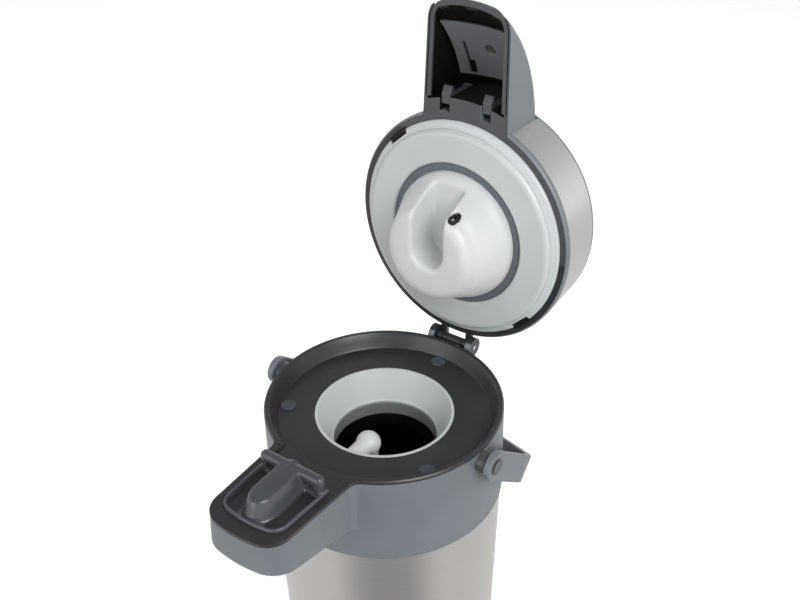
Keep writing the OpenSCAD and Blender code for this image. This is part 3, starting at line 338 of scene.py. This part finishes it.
def beakPoints(inset, seam, steps=14):
    # from the seam on the right, round the tip, to the seam on the left
    look = beakLook
    w, corner, bow = look["halfWidth"] - inset, max(look["corner"] - inset, look["leastCorner"]), look["bow"] - inset
    bowY = -look["reach"] + look["bow"]
    cx = w - corner
    cy = bowY - math.sqrt((bow - corner) ** 2 - cx * cx)
    turn = math.atan2(cy - bowY, cx)
    points = [(w, -seam + (cy + seam) * i / steps) for i in range(steps)]
    points += [(cx + corner * math.cos(a), cy + corner * math.sin(a)) for a in
               (turn * i / steps for i in range(steps))]
    points += [(bow * math.cos(a), bowY + bow * math.sin(a)) for a in
               (turn + (-math.pi - 2 * turn) * i / steps for i in range(steps))]
    points += [(-cx + corner * math.cos(a), cy + corner * math.sin(a)) for a in
               (-math.pi - turn + turn * i / steps for i in range(steps))]
    points += [(-w, cy + (-seam - cy) * i / steps) for i in range(steps + 1)]
    return [(beakWidth(y, x), y) for x, y in points]


def undersideHeight(y):
    # height of the beak's underside above the table, in millimetres
    line = beakLook["underside"]
    for (y0, z0), (y1, z1) in zip(line, line[1:]):
        if y <= y1:
            return rimMm + z0 + (z1 - z0) * (y - y0) / (y1 - y0)
    return rimMm + line[-1][1]


def beakSkin(mesh):
    # the beak's wall and underside in one skin, with a wide soft edge between them
    look = beakLook
    outline = beakPoints(0, look["seam"])
    last = len(outline) - 1
    topZ = rimMm - look["topDepth"]
    arc = look["arcSteps"]
    rows = [[] for k in range(arc + 3)]
    for i, (x, y) in enumerate(outline):
        reach = min(max((-look["seam"] - y) / look["fade"], 0), 1)
        reach *= reach * (3 - 2 * reach)
        radius = look["rootRadius"] + (look["undersideRadius"] - look["rootRadius"]) * reach
        low = undersideHeight(y) - look["tipDrop"] * reach
        along = Vector(outline[min(i + 1, last)]) - Vector(outline[max(i - 1, 0)])
        inward = Vector((along.y, -along.x)).normalized()
        if inward.dot(Vector((-x, look["middle"] - y))) < 0:
            inward = -inward
        if i in (0, last):
            inward = Vector((-1 if x > 0 else 1, 0))
        for k, row in enumerate(rows):
            if k == 0:
                inset, z = 0, topZ
            elif k == arc + 2:
                inset, z = look["floorInset"], low
            else:
                turn = math.radians(90 * (k - 1) / arc)
                inset, z = radius * (1 - math.cos(turn)), low + radius * (1 - math.sin(turn))
            inset -= look["wallFlare"] * reach * (topZ - z) / (topZ - low)
            row.append(mesh.verts.new(((x + inward.x * inset) * mm, (y + inward.y * inset) * mm, z * mm)))
    for top, low in zip(rows, rows[1:]):
        for i in range(last):
            mesh.faces.new((top[i], top[i + 1], low[i + 1], low[i]))
    inner = rows[-1]
    for i in range((last + 1) // 2):
        corners = [inner[i], inner[i + 1], inner[last - 1 - i], inner[last - i]]
        kept = [v for j, v in enumerate(corners) if v not in corners[:j]]
        if len(kept) > 2:
            mesh.faces.new(kept)


def collarPiece():
    # blue-grey satin collar: its beak's outer faces make way for the soft-edged skin
    look = {"edgeMm": 0.7, "middle": -112.0, "steepest": 0.2, "frontMost": 0.05, "sideMost": 0.5, "downMost": 0.3,
            "underMargin": 2.3, "wallTop": 2.7, "chamfer": -140.0, "hinge": {"back": 79.6, "half": 24, "low": 299},
            "boss": {"side": 79.8, "y": -5.4, "z": 303, "radius": 8.6}}
    mesh = cadCopy("collar")
    seam = beakLook["seam"]
    bmesh.ops.bisect_plane(mesh, geom=mesh.verts[:] + mesh.edges[:] + mesh.faces[:], dist=1e-6,
                           plane_co=(0, -seam * mm, 0), plane_no=(0, 1, 0))
    gone = []
    for face in mesh.faces:
        x, y, z = (v / mm for v in face.calc_center_median())
        if y > -seam + 0.01:
            continue
        n = face.normal
        outward = Vector((n.x, n.y)).dot(Vector((x, y - look["middle"]))) > 0
        wall = abs(n.z) < look["steepest"] and (n.y < -look["frontMost"] or abs(n.x) > look["sideMost"]) and outward
        below = n.z < -look["downMost"]
        under = below and z < undersideHeight(y) + look["underMargin"]
        chamfer = below and y < look["chamfer"]
        if wall and z <= rimMm - look["wallTop"] or under or chamfer:
            gone.append(face)
    bmesh.ops.delete(mesh, geom=gone, context="FACES")
    piece = newPiece("collarShell", mesh, ["slateAbs", "charcoalAbs", "rimAbs"])
    roundEdges(piece, look["edgeMm"])
    mesh = bmesh.new()
    mesh.from_mesh(piece.data)
    beakSkin(mesh)
    mesh.to_mesh(piece.data)
    mesh.free()

    def rule(p, n):
        hinge = p[1] > look["hinge"]["back"] and abs(p[0]) < look["hinge"]["half"] and p[2] > look["hinge"]["low"]
        # the pivot bosses get the dark grey rim finish, partly their own tone and partly painted shade
        away = math.hypot(p[1] - look["boss"]["y"], p[2] - look["boss"]["z"])
        boss = abs(p[0]) > look["boss"]["side"] and away < look["boss"]["radius"]
        return 1 if hinge else 2 if boss else 0
    paint(piece, rule)
    return stand(soften(piece), "collar")


def roundedPiece(name, nodeName, look):
    mesh = cadCopy(nodeName)
    if "extra" in look:
        look["extra"](mesh)
    piece = newPiece(name, mesh, look["finishes"])
    roundEdges(piece, look["edgeMm"], look.get("steps", 2))
    if "rule" in look:
        paint(piece, look["rule"])
    return stand(soften(piece), nodeName)


lidPaint = {"facingDown": 0.85, "hingeY": 70, "hingeTop": 0.3, "hingeRadius": 79.2, "hoodY": -70, "hoodHalf": 31,
            "rimFace": 1.3, "rimTop": 2.3, "rimInset": 1.2, "rimTip": -143.6, "ringTop": 1.0,
            "cavityMiddle": (0, -108, 8), "cavityY": -79, "cavityHalf": 28}


def lidFrameRule(p, n):
    # outside 0, cavity 1 (near-black, painted shade), ring face and hinge arms 2, the hood's rim 3; in the closed lid's
    # own frame
    look = lidPaint
    x, y, z = lidPlace(p)
    down = -n.y * math.sin(lidAngle) - n.z * math.cos(lidAngle) > look["facingDown"]
    if y > look["hingeY"] and (z < look["hingeTop"] or math.hypot(x, y) > look["hingeRadius"]):
        return 2
    edge = beakWidth(y, beakLook["halfWidth"]) - abs(x)
    rim = z < look["rimTop"] and edge > look["rimInset"] and y > look["rimTip"]
    if y < look["hoodY"] and abs(x) < look["hoodHalf"] and (down and z < look["rimFace"] or rim):
        return 3
    if down and z < look["ringTop"]:
        return 2
    inward = n.dot(Vector(rowPlace(*look["cavityMiddle"])) / mm - p) > 0
    return 1 if y < look["cavityY"] and abs(x) < look["cavityHalf"] and inward else 0


def rowPlace(x, y, z):
    # the open lid's place, in metres, of a point in the closed lid's own frame in millimetres
    dy, dz = y - hingePlace.y / mm, z + hingeDrop
    c, s = math.cos(lidAngle), math.sin(lidAngle)
    return x * mm, hingePlace.y + (c * dy + s * dz) * mm, hingePlace.z + (-s * dy + c * dz) * mm


def hoodRim(mesh):
    # the flat rim round the hood's opening, which closes on the beak's border
    look = {"outer": 2.4, "inner": 4.5, "low": 0.45, "high": 2.0, "seam": 84.0}
    loops = []
    for inset, z in ((look["outer"], look["low"]), (look["inner"], look["low"]), (look["inner"], look["high"]),
                     (look["outer"], look["high"])):
        loops.append([mesh.verts.new(rowPlace(x, y, z)) for x, y in beakPoints(inset, look["seam"])])
    for k in range(4):
        first, second = loops[k], loops[(k + 1) % 4]
        for i in range(len(first) - 1):
            mesh.faces.new((first[i], first[i + 1], second[i + 1], second[i]))
    for i in (0, -1):
        mesh.faces.new([loop[i] for loop in loops])


def humpMesh(look):
    # the spout's hump: a broad crown with S-shaped sides, which run on round its nose
    mesh = bmesh.new()
    cols, rows = look["cols"], look["rows"]
    half, slope = look["halfWidth"], look["halfWidth"] - look["crown"]
    noseStart = look["front"] + half * look["noseLong"]
    top, low = [], []
    for j in range(rows + 1):
        v = j / rows
        y = look["back"] + (look["front"] - look["back"]) * v
        height = look["height"] - look["fall"] * v
        upper, under = [], []
        for i in range(cols + 1):
            x = half * (2 * i / cols - 1)
            off = math.hypot(x, max(noseStart - y, 0) / look["noseLong"])
            u = min(max((half - off) / slope, 0), 1)
            z = look["floor"] + (height - look["floor"]) * u * u * (3 - 2 * u)
            z += look["dome"] * max(1 - (off / half) ** 2, 0)
            upper.append(mesh.verts.new((x * mm, y * mm, (rimMm + z) * mm)))
            under.append(mesh.verts.new((x * mm, y * mm, (rimMm + look["floor"] - look["depth"]) * mm)))
        top.append(upper)
        low.append(under)
    for j in range(rows):
        for i in range(cols):
            mesh.faces.new((top[j][i], top[j][i + 1], top[j + 1][i + 1], top[j + 1][i]))
            mesh.faces.new((low[j][i], low[j + 1][i], low[j + 1][i + 1], low[j][i + 1]))
        mesh.faces.new((top[j][0], top[j + 1][0], low[j + 1][0], low[j][0]))
        mesh.faces.new((top[j][cols], low[j][cols], low[j + 1][cols], top[j + 1][cols]))
    for i in range(cols):
        mesh.faces.new((top[0][i], low[0][i], low[0][i + 1], top[0][i + 1]))
        mesh.faces.new((top[rows][i], top[rows][i + 1], low[rows][i + 1], low[rows][i]))
    bmesh.ops.recalc_face_normals(mesh, faces=mesh.faces)
    return mesh


def boxMesh(low, high):
    mesh = bmesh.new()
    bmesh.ops.create_cube(mesh, size=1)
    for v in mesh.verts:
        v.co = [(low[i] + (high[i] - low[i]) * (v.co[i] + 0.5)) * mm for i in range(3)]
    return mesh


def combine(piece, mesh, operation):
    # joins or cuts the piece with another closed mesh
    tool = newPiece("tool", mesh, [])
    step = piece.modifiers.new("combine", "BOOLEAN")
    step.operation, step.solver, step.object = operation, "EXACT", tool
    settle(piece)
    data = tool.data
    bpy.data.objects.remove(tool)
    bpy.data.meshes.remove(data)


def castPiece(name, nodeName, look, cut=None, added=None):
    # a moulding with soft inner corners: remeshed on a fine grid and relaxed
    piece = newPiece(name, cadCopy(nodeName, 0), look["finishes"])
    if cut:
        combine(piece, cut, "DIFFERENCE")
    if added:
        combine(piece, added, "UNION")
    cast = piece.modifiers.new("cast", "REMESH")
    cast.mode, cast.voxel_size = "VOXEL", look["gridMm"] * mm
    relax = piece.modifiers.new("relax", "SMOOTH")
    relax.factor, relax.iterations = 0.5, look["relax"]
    settle(piece)
    piece.data.shade_smooth()
    piece.data.materials.clear()
    for key in look["finishes"]:
        piece.data.materials.append(finish[key])
    for face in piece.data.polygons:
        face.material_index = 0
    if "rule" in look:
        paint(piece, look["rule"])
    return stand(piece, nodeName)


collarPiece()
print("pump pot: collar")

def coverRule(p, n):
    # the tray's floor beside the hump is painted darker: painted shade in the recessed tray
    look = coverLook
    beside = p[1] > look["trayFront"] and abs(p[0]) > look["trayHalf"]
    return 1 if p[2] < look["trayTop"] and n[2] > look["facingUp"] and beside else 0


coverLook = {"finishes": ["ridgeAbs", "charcoalAbs"], "gridMm": 0.42, "relax": 5, "cols": 46, "rows": 72,
             "back": -92.0, "front": -134.2, "noseLong": 1.35, "height": 11.6, "fall": 1.6, "halfWidth": 12.4,
             "crown": 6.4, "dome": 0.9, "floor": -0.8, "depth": 1.2, "cutLow": (-9.6, -131, 312.3),
             "cutHigh": (9.6, -95.7, 335), "trayTop": 313.3, "trayFront": -131.5, "trayHalf": 10, "facingUp": 0.5,
             "rule": coverRule}
hollow = boxMesh(coverLook["cutLow"], coverLook["cutHigh"])
castPiece("spoutCover", "spout_cover", coverLook, hollow, humpMesh(coverLook))
print("pump pot: spout cover")

stopperLook = {"finishes": ["whitePolypropylene"], "gridMm": 0.8, "relax": 40}
castPiece("stopperBody", "stopper", stopperLook)
print("pump pot: stopper")

roundedLooks = {
    "deckTray": ("deck", {"finishes": ["charcoalAbs"], "edgeMm": 0.5}),
    "mouthRing": ("mouth_ring", {"finishes": ["paleAbs"], "edgeMm": 0.6}),
    "lidFrame": ("lid_frame", {"finishes": ["lidAbs", "shadowBlackAbs", "charcoalAbs", "rimAbs"], "edgeMm": 0.6,
                               "rule": lidFrameRule, "extra": hoodRim}),
    "lidTop": ("lid_top", {"finishes": ["lidAbs"], "edgeMm": 0.5}),
    "innerCover": ("inner_cover", {"finishes": ["paleAbs"], "edgeMm": 1.4, "steps": 3}),
    "bailStrap": ("bail", {"finishes": ["slateAbs"], "edgeMm": 1.6, "steps": 3}),
    "pushButton": ("push_button", {"finishes": ["slateAbs"], "edgeMm": 0.8}),
    "baseCover": ("base_cover", {"finishes": ["slateAbs"], "edgeMm": 0.8}),
    "footPlate": ("foot_plate", {"finishes": ["charcoalAbs"], "edgeMm": 0.6}),
    "hoodPlate": ("hood_plate", {"finishes": ["plateAbs"], "edgeMm": 0.3}),
    "latchPlate": ("latch", {"finishes": ["rimAbs"], "edgeMm": 0.5}),
    "lockSlider": ("lock_slider", {"finishes": ["brickAbs"], "edgeMm": 0.35}),
    "elbowBody": ("elbow", {"finishes": ["whitePolypropylene"], "edgeMm": 0.6}),
    "bailCaps": ("bail_caps", {"finishes": ["rimAbs"], "edgeMm": 0.3}),
    "nozzleTube": ("nozzle", {"finishes": ["charcoalAbs"], "edgeMm": 0.5}),
    "snapTabs": ("snap_tabs", {"finishes": ["shadowBlackAbs"], "edgeMm": 0.25}),
    "lidGasket": ("lid_gasket", {"finishes": ["paleSilicone"], "edgeMm": 0.8, "steps": 3}),
    "neckSeal": ("neck_seal", {"finishes": ["midSilicone"], "edgeMm": 0.7, "steps": 3}),
    "pipeSeal": ("pipe_seal", {"finishes": ["blackRubber"], "edgeMm": 0.5, "steps": 3}),
    "airGrommet": ("air_grommet", {"finishes": ["blackRubber"], "edgeMm": 0.3}),
    "deckPads": ("deck_pads", {"finishes": ["greySilicone"], "edgeMm": 0.3}),
    "footPads": ("foot_pads", {"finishes": ["blackRubber"], "edgeMm": 0.5, "steps": 3}),
}
for name, (nodeName, look) in roundedLooks.items():
    roundedPiece(name, nodeName, look)
print("pump pot: rounded mouldings,", len(roundedLooks))


# wound and repeated parts, by Geometry Nodes

def startTree(name, sizes):
    tree = bpy.data.node_groups.new(name, "GeometryNodeTree")
    for key, value in sizes.items():
        kind = "NodeSocketInt" if isinstance(value, int) else "NodeSocketFloat"
        tree.interface.new_socket(key, in_out="INPUT", socket_type=kind).default_value = value
    tree.interface.new_socket("Geometry", in_out="OUTPUT", socket_type="NodeSocketGeometry")
    return tree, addNode(tree, "NodeGroupInput"), addNode(tree, "NodeGroupOutput")


def endTree(tree, shape, material, target):
    realized = addNode(tree, "GeometryNodeRealizeInstances", links={"Geometry": shape})
    painted = addNode(tree, "GeometryNodeSetMaterial", {"Material": material}, {"Geometry": realized.outputs[0]})
    tree.links.new(painted.outputs[0], target.inputs[0])


def grownPiece(name, tree, sizes, place, sharp=40):
    # the tree's result as a plain mesh, moved to its place
    piece = newPiece(name, bmesh.new(), [])
    step = piece.modifiers.new("grown", "NODES")
    step.node_group = tree
    for item in tree.interface.items_tree:
        if item.in_out == "INPUT" and item.name in sizes:
            step[item.identifier] = sizes[item.name]
    settle(piece)
    piece.data.transform(place)
    piece.data.shade_smooth()
    piece.data.set_sharp_from_angle(angle=math.radians(sharp))
    return piece


springLook = {"wireSides": 12, "perTurn": 28,
              "return_spring": {"wireMm": 1.6, "turns": 7.0, "travelMm": 20},
              "latch_spring": {"wireMm": 0.7, "turns": 5.0, "travelMm": 4}}
bellowsLook = {"edgeMm": 0.9, "steps": 3, "travelMm": 20}


def springTree(name, material):
    # a wire of round section wound up a cylinder
    tree, given, target = startTree(name, {"radius": 0.01, "wire": 0.001, "length": 0.02, "turns": 5.0})
    wound = addNode(tree, "GeometryNodeCurveSpiral", {"Resolution": springLook["perTurn"]},
                    {"Rotations": given.outputs["turns"], "Start Radius": given.outputs["radius"],
                     "End Radius": given.outputs["radius"], "Height": given.outputs["length"]})
    half = addNode(tree, "ShaderNodeMath", {"operation": "MULTIPLY", 1: 0.5}, {0: given.outputs["wire"]})
    section = addNode(tree, "GeometryNodeCurvePrimitiveCircle", {"Resolution": springLook["wireSides"]},
                      {"Radius": half.outputs[0]})
    wire = addNode(tree, "GeometryNodeCurveToMesh", {"Fill Caps": True},
                   {"Curve": wound.outputs["Curve"], "Profile Curve": section.outputs["Curve"]})
    endTree(tree, wire.outputs["Mesh"], material, target)
    return tree


def lidBounds(nodeName):
    # a node's lowest and highest corners in the closed lid's own frame, in millimetres
    points = [lidPlace(v.co / mm) for v in frame["nodes"][nodeName].data.vertices]
    return [min(p[i] for p in points) for i in range(3)], [max(p[i] for p in points) for i in range(3)]


def lidMatrix(x, y, z, tip):
    # stands a shape made along +Z at a point of the closed lid, then turned back by tip about X
    place = Matrix.Translation(rowPlace(x, y, z)) @ Matrix.Rotation(-lidAngle, 4, "X")
    return place @ Matrix.Rotation(tip, 4, "X")


def squashed(piece, nodeName, anchor):
    stand(piece, nodeName)
    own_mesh(piece)


def springSizes(nodeName, across, length):
    # the tree's inputs from the CAD spring's width and length in millimetres
    wire = springLook[nodeName]["wireMm"]
    return {"radius": (across / 2 - wire / 2) * mm, "wire": wire * mm, "length": (length - wire) * mm,
            "turns": springLook[nodeName]["turns"]}


spring = springTree("woundSpring", finish["pinSteel"])
low, high = lidBounds("return_spring")
look = springLook["return_spring"]
length = high[2] - low[2]
grown = grownPiece("returnSpring", spring, springSizes("return_spring", high[0] - low[0], length),
                   lidMatrix(0, 0, low[2] + look["wireMm"] / 2, 0))
squashed(grown, "return_spring", rowPlace(0, 0, low[2]))
low, high = lidBounds("latch_spring")
look = springLook["latch_spring"]
length = high[1] - low[1]
middle = (low[2] + high[2]) / 2
grown = grownPiece("latchSpring", spring, springSizes("latch_spring", high[0] - low[0], length),
                   lidMatrix(0, low[1] + look["wireMm"] / 2, middle, math.radians(-90)))
squashed(grown, "latch_spring", rowPlace(0, high[1], middle))
low, high = lidBounds("bellows")
folded = newPiece("pumpBellows", cadCopy("bellows"), ["midSilicone"])
roundEdges(folded, bellowsLook["edgeMm"], bellowsLook["steps"])
soften(folded)
squashed(folded, "bellows", rowPlace(0, 0, low[2]))
print("pump pot: springs and bellows")


screwLook = {"count": 3, "headRadiusMm": 2.8, "headHeightMm": 1.15, "shankRadiusMm": 1.4, "shankInMm": 1.1,
             "headSides": 40, "shankSides": 24, "slitLength": 1.15, "slitWidth": 0.26}


def screwTree(name, material):
    # a ring of screws: pan head with a cross recess, on a plain shank
    look = screwLook
    sizes = {"ring": 0.05, "first": 0.0, "count": 4, "headRadius": 0.0028, "headHeight": 0.0011,
             "shankRadius": 0.0014, "shankLength": 0.012}
    tree, given, target = startTree(name, sizes)
    given = given.outputs
    points = addNode(tree, "GeometryNodeMeshCircle", {}, {"Vertices": given["count"], "Radius": given["ring"]})
    angle = addNode(tree, "ShaderNodeCombineXYZ", links={"Z": given["first"]})
    turned = addNode(tree, "GeometryNodeTransform", {}, {"Geometry": points.outputs[0], "Rotation": angle.outputs[0]})
    head = addNode(tree, "GeometryNodeMeshCylinder", {"Vertices": look["headSides"]},
                   {"Radius": given["headRadius"], "Depth": given["headHeight"]})
    shank = addNode(tree, "GeometryNodeMeshCylinder", {"Vertices": look["shankSides"]},
                    {"Radius": given["shankRadius"], "Depth": given["shankLength"]})
    solid = addNode(tree, "GeometryNodeMeshBoolean", {"operation": "UNION"})
    # the head stands on the ring's plane, and the shank hangs from just above it
    for part, height, share in ((head, "headHeight", 0.5), (shank, "shankLength", -0.49)):
        shift = addNode(tree, "ShaderNodeMath", {"operation": "MULTIPLY", 1: share}, {0: given[height]})
        offset = addNode(tree, "ShaderNodeCombineXYZ", links={"Z": shift.outputs[0]})
        moved = addNode(tree, "GeometryNodeTransform", {},
                        {"Geometry": part.outputs[0], "Translation": offset.outputs[0]})
        tree.links.new(moved.outputs[0], solid.inputs["Mesh 2"])
    arm = addNode(tree, "ShaderNodeMath", {"operation": "MULTIPLY", 1: look["slitLength"]}, {0: given["headRadius"]})
    slit = addNode(tree, "ShaderNodeMath", {"operation": "MULTIPLY", 1: look["slitWidth"]}, {0: given["headRadius"]})
    cross = addNode(tree, "GeometryNodeMeshBoolean", {"operation": "DIFFERENCE"}, {"Mesh 1": solid.outputs["Mesh"]})
    for first, second in ((arm, slit), (slit, arm)):
        size = addNode(tree, "ShaderNodeCombineXYZ",
                       links={"X": first.outputs[0], "Y": second.outputs[0], "Z": given["headHeight"]})
        bar = addNode(tree, "GeometryNodeMeshCube", {}, {"Size": size.outputs[0]})
        lift = addNode(tree, "ShaderNodeCombineXYZ", links={"Z": given["headHeight"]})
        raised = addNode(tree, "GeometryNodeTransform", {},
                         {"Geometry": bar.outputs[0], "Translation": lift.outputs[0]})
        tree.links.new(raised.outputs[0], cross.inputs["Mesh 2"])
    ring = addNode(tree, "GeometryNodeInstanceOnPoints", {},
                   {"Points": turned.outputs[0], "Instance": cross.outputs["Mesh"]})
    endTree(tree, ring.outputs[0], material, target)
    return tree


screws = screwTree("screwRing", finish["pinSteel"])
low, high = (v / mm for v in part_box("collar_screws"))
screwSizes = {"ring": (high.y - screwLook["headRadiusMm"]) * mm, "first": math.radians(90), "count": screwLook["count"],
              "headRadius": screwLook["headRadiusMm"] * mm, "headHeight": screwLook["headHeightMm"] * mm,
              "shankRadius": screwLook["shankRadiusMm"] * mm,
              "shankLength": (high.z - low.z - screwLook["shankInMm"]) * mm}
place = Matrix.Translation((0, 0, (high.z - screwLook["headHeightMm"]) * mm))
stand(grownPiece("collarScrews", screws, screwSizes, place), "collar_screws")
print("pump pot: screws")


# stage, lamps and camera

stageLook = {"size": 6.0, "low": "#dedede", "high": "#e4e4e4", "toneSpread": 0.4, "cloudScale": 3.0, "rough": 0.9,
             "lift": 0.55, "mirrorTint": (1, 0.99, 0.975, 1), "bandAzimuth": 34.4, "bandHalf": 30.0, "bandInner": 0.5,
             "bandOuter": 1.7, "bandDark": 0.47, "bandLight": 0.88, "worldFill": 0.5, "sideGloss": 1.25,
             "topGloss": 0.22, "sideHeight": 0.05, "topHeight": 0.75}


def azimuthRamp(tree, vector, look):
    # a darker side of the studio at one fixed azimuth, so that brushed steel shows a dark band there
    parts = addNode(tree, "ShaderNodeSeparateXYZ", links={"Vector": vector})
    minus = addNode(tree, "ShaderNodeMath", {"operation": "MULTIPLY", 1: -1.0}, {0: parts.outputs["Y"]})
    angle = addNode(tree, "ShaderNodeMath", {"operation": "ARCTAN2"}, {0: parts.outputs["X"], 1: minus.outputs[0]})
    off = addNode(tree, "ShaderNodeMath", {"operation": "SUBTRACT", 1: math.radians(look["bandAzimuth"])},
                  {0: angle.outputs[0]})
    size = addNode(tree, "ShaderNodeMath", {"operation": "ABSOLUTE"}, {0: off.outputs[0]})
    spread = addNode(tree, "ShaderNodeMapRange",
                     {"interpolation_type": "SMOOTHSTEP",
                      "From Min": math.radians(look["bandHalf"] * look["bandInner"]),
                      "From Max": math.radians(look["bandHalf"] * look["bandOuter"]),
                      "To Min": look["bandDark"], "To Max": look["bandLight"]},
                     {"Value": size.outputs[0]})
    return spread.outputs["Result"]


# the floor: pale to the camera, and for reflections the studio's own brightness
floorMaterial, tree, shader, place = startMaterial("paleFloor")
cloud = addNode(tree, "ShaderNodeTexNoise", {"Scale": stageLook["cloudScale"]}, {"Vector": place})
colour = twoTone(tree, cloud.outputs["Fac"], stageLook["low"], stageLook["high"], stageLook["toneSpread"])
tree.links.new(colour, shader.inputs["Base Color"])
shader.inputs["Roughness"].default_value = stageLook["rough"]
rays = addNode(tree, "ShaderNodeLightPath").outputs
lift = addNode(tree, "ShaderNodeMath", {"operation": "MULTIPLY", 1: stageLook["lift"]}, {0: rays["Is Camera Ray"]})
shader.inputs["Emission Color"].default_value = (1, 1, 1, 1)
tree.links.new(lift.outputs[0], shader.inputs["Emission Strength"])
mirrored = addNode(tree, "ShaderNodeEmission", {"Color": stageLook["mirrorTint"]},
                   {"Strength": azimuthRamp(tree, place, stageLook)})
both = addNode(tree, "ShaderNodeMixShader",
               links={0: rays["Is Glossy Ray"], 1: shader.outputs[0], 2: mirrored.outputs[0]})
output = next(n for n in tree.nodes if n.type == "OUTPUT_MATERIAL")
tree.links.new(both.outputs[0], output.inputs["Surface"])
mesh = bmesh.new()
half = stageLook["size"] / 2
mesh.faces.new([mesh.verts.new(v) for v in ((-half, -half, 0), (half, -half, 0), (half, half, 0), (-half, half, 0))])
floor = newPiece("floor", mesh, [])
floor.data.materials.append(floorMaterial)

# the world: white to the camera, an even fill on the object, and for reflections bright sides under a darker ceiling
world = bpy.data.worlds.new("studio")
bpy.context.scene.world = world
world.use_nodes = True
tree = world.node_tree
background = next(n for n in tree.nodes if n.type == "BACKGROUND")
rays = addNode(tree, "ShaderNodeLightPath").outputs
place = addNode(tree, "ShaderNodeTexCoord").outputs["Generated"]
parts = addNode(tree, "ShaderNodeSeparateXYZ", links={"Vector": place})
overhead = addNode(tree, "ShaderNodeMapRange",
                   {"From Min": stageLook["sideHeight"], "From Max": stageLook["topHeight"],
                    "To Min": stageLook["sideGloss"], "To Max": stageLook["topGloss"]}, {"Value": parts.outputs["Z"]})
glossy = addNode(tree, "ShaderNodeMix", {"data_type": "FLOAT", 2: stageLook["worldFill"]},
                 {0: rays["Is Glossy Ray"], 3: overhead.outputs["Result"]})
seen = addNode(tree, "ShaderNodeMath", {"operation": "MAXIMUM"},
               {0: rays["Is Camera Ray"], 1: rays["Is Transmission Ray"]})
strength = addNode(tree, "ShaderNodeMix", {"data_type": "FLOAT", 3: 1.0}, {0: seen.outputs[0], 2: glossy.outputs[0]})
background.inputs["Color"].default_value = (1, 1, 1, 1)
tree.links.new(strength.outputs[0], background.inputs["Strength"])

lampLooks = {
    "keyPanel": {"place": (1.1, -0.5, 1.3), "aim": (0, 0, 0.3), "size": (0.8, 0.8), "watts": 15, "mirrored": True},
    "fillPanel": {"place": (-0.4, -1.7, 0.9), "aim": (0, 0, 0.4), "size": (1.2, 1.0), "watts": 7, "mirrored": True},
    "rearPanel": {"place": (-0.3, 1.3, 1.2), "aim": (0, 0, 0.4), "size": (1.2, 0.8), "watts": 6, "mirrored": False},
}


def aimed(place, aim):
    direction = Vector(aim) - Vector(place)
    return Matrix.Translation(place) @ direction.to_track_quat("-Z", "Y").to_matrix().to_4x4()


for name, look in lampLooks.items():
    lamp = bpy.data.lights.new(name, "AREA")
    lamp.shape = "RECTANGLE"
    lamp.size, lamp.size_y = look["size"]
    lamp.energy = look["watts"]
    holder = bpy.data.objects.new(name, lamp)
    holder.matrix_world = aimed(look["place"], look["aim"])
    holder.visible_glossy = look["mirrored"]
    bpy.context.scene.collection.objects.link(holder)

# camera at the photo's angle; the lengths are in rim radii
view = {"azimuth": 34.366, "elevation": 41.661, "distance": 7.758, "roll": -0.118, "right": 0.297, "up": -0.345,
        "rimRadius": 0.0787, "sensor": 36.0, "lens": 41.80, "shiftX": -0.02484, "shiftY": 0.17476}
a, e, roll = (math.radians(view[k]) for k in ("azimuth", "elevation", "roll"))
back = Vector((math.sin(a) * math.cos(e), -math.cos(a) * math.cos(e), math.sin(e)))
right = (-back).cross(Vector((0, 0, 1))).normalized()
up = right.cross(-back)
spot = (back * view["distance"] + right * view["right"] + up * view["up"]) * view["rimRadius"]
spot += Vector((0, 0, rimMm * mm))
axisX = right * math.cos(roll) + up * math.sin(roll)
axisY = -right * math.sin(roll) + up * math.cos(roll)
lens = bpy.data.cameras.new("camera")
lens.lens, lens.sensor_width = view["lens"], view["sensor"]
lens.shift_x, lens.shift_y = view["shiftX"], view["shiftY"]
camera = bpy.data.objects.new("camera", lens)
camera.matrix_world = Matrix((
    (axisX.x, axisY.x, back.x, spot.x), (axisX.y, axisY.y, back.y, spot.y), (axisX.z, axisY.z, back.z, spot.z),
    (0, 0, 0, 1)))
bpy.context.scene.collection.objects.link(camera)
bpy.context.scene.camera = camera
bpy.context.scene.view_settings.view_transform = "Standard"
print("pump pot: stage, lamps and camera set")
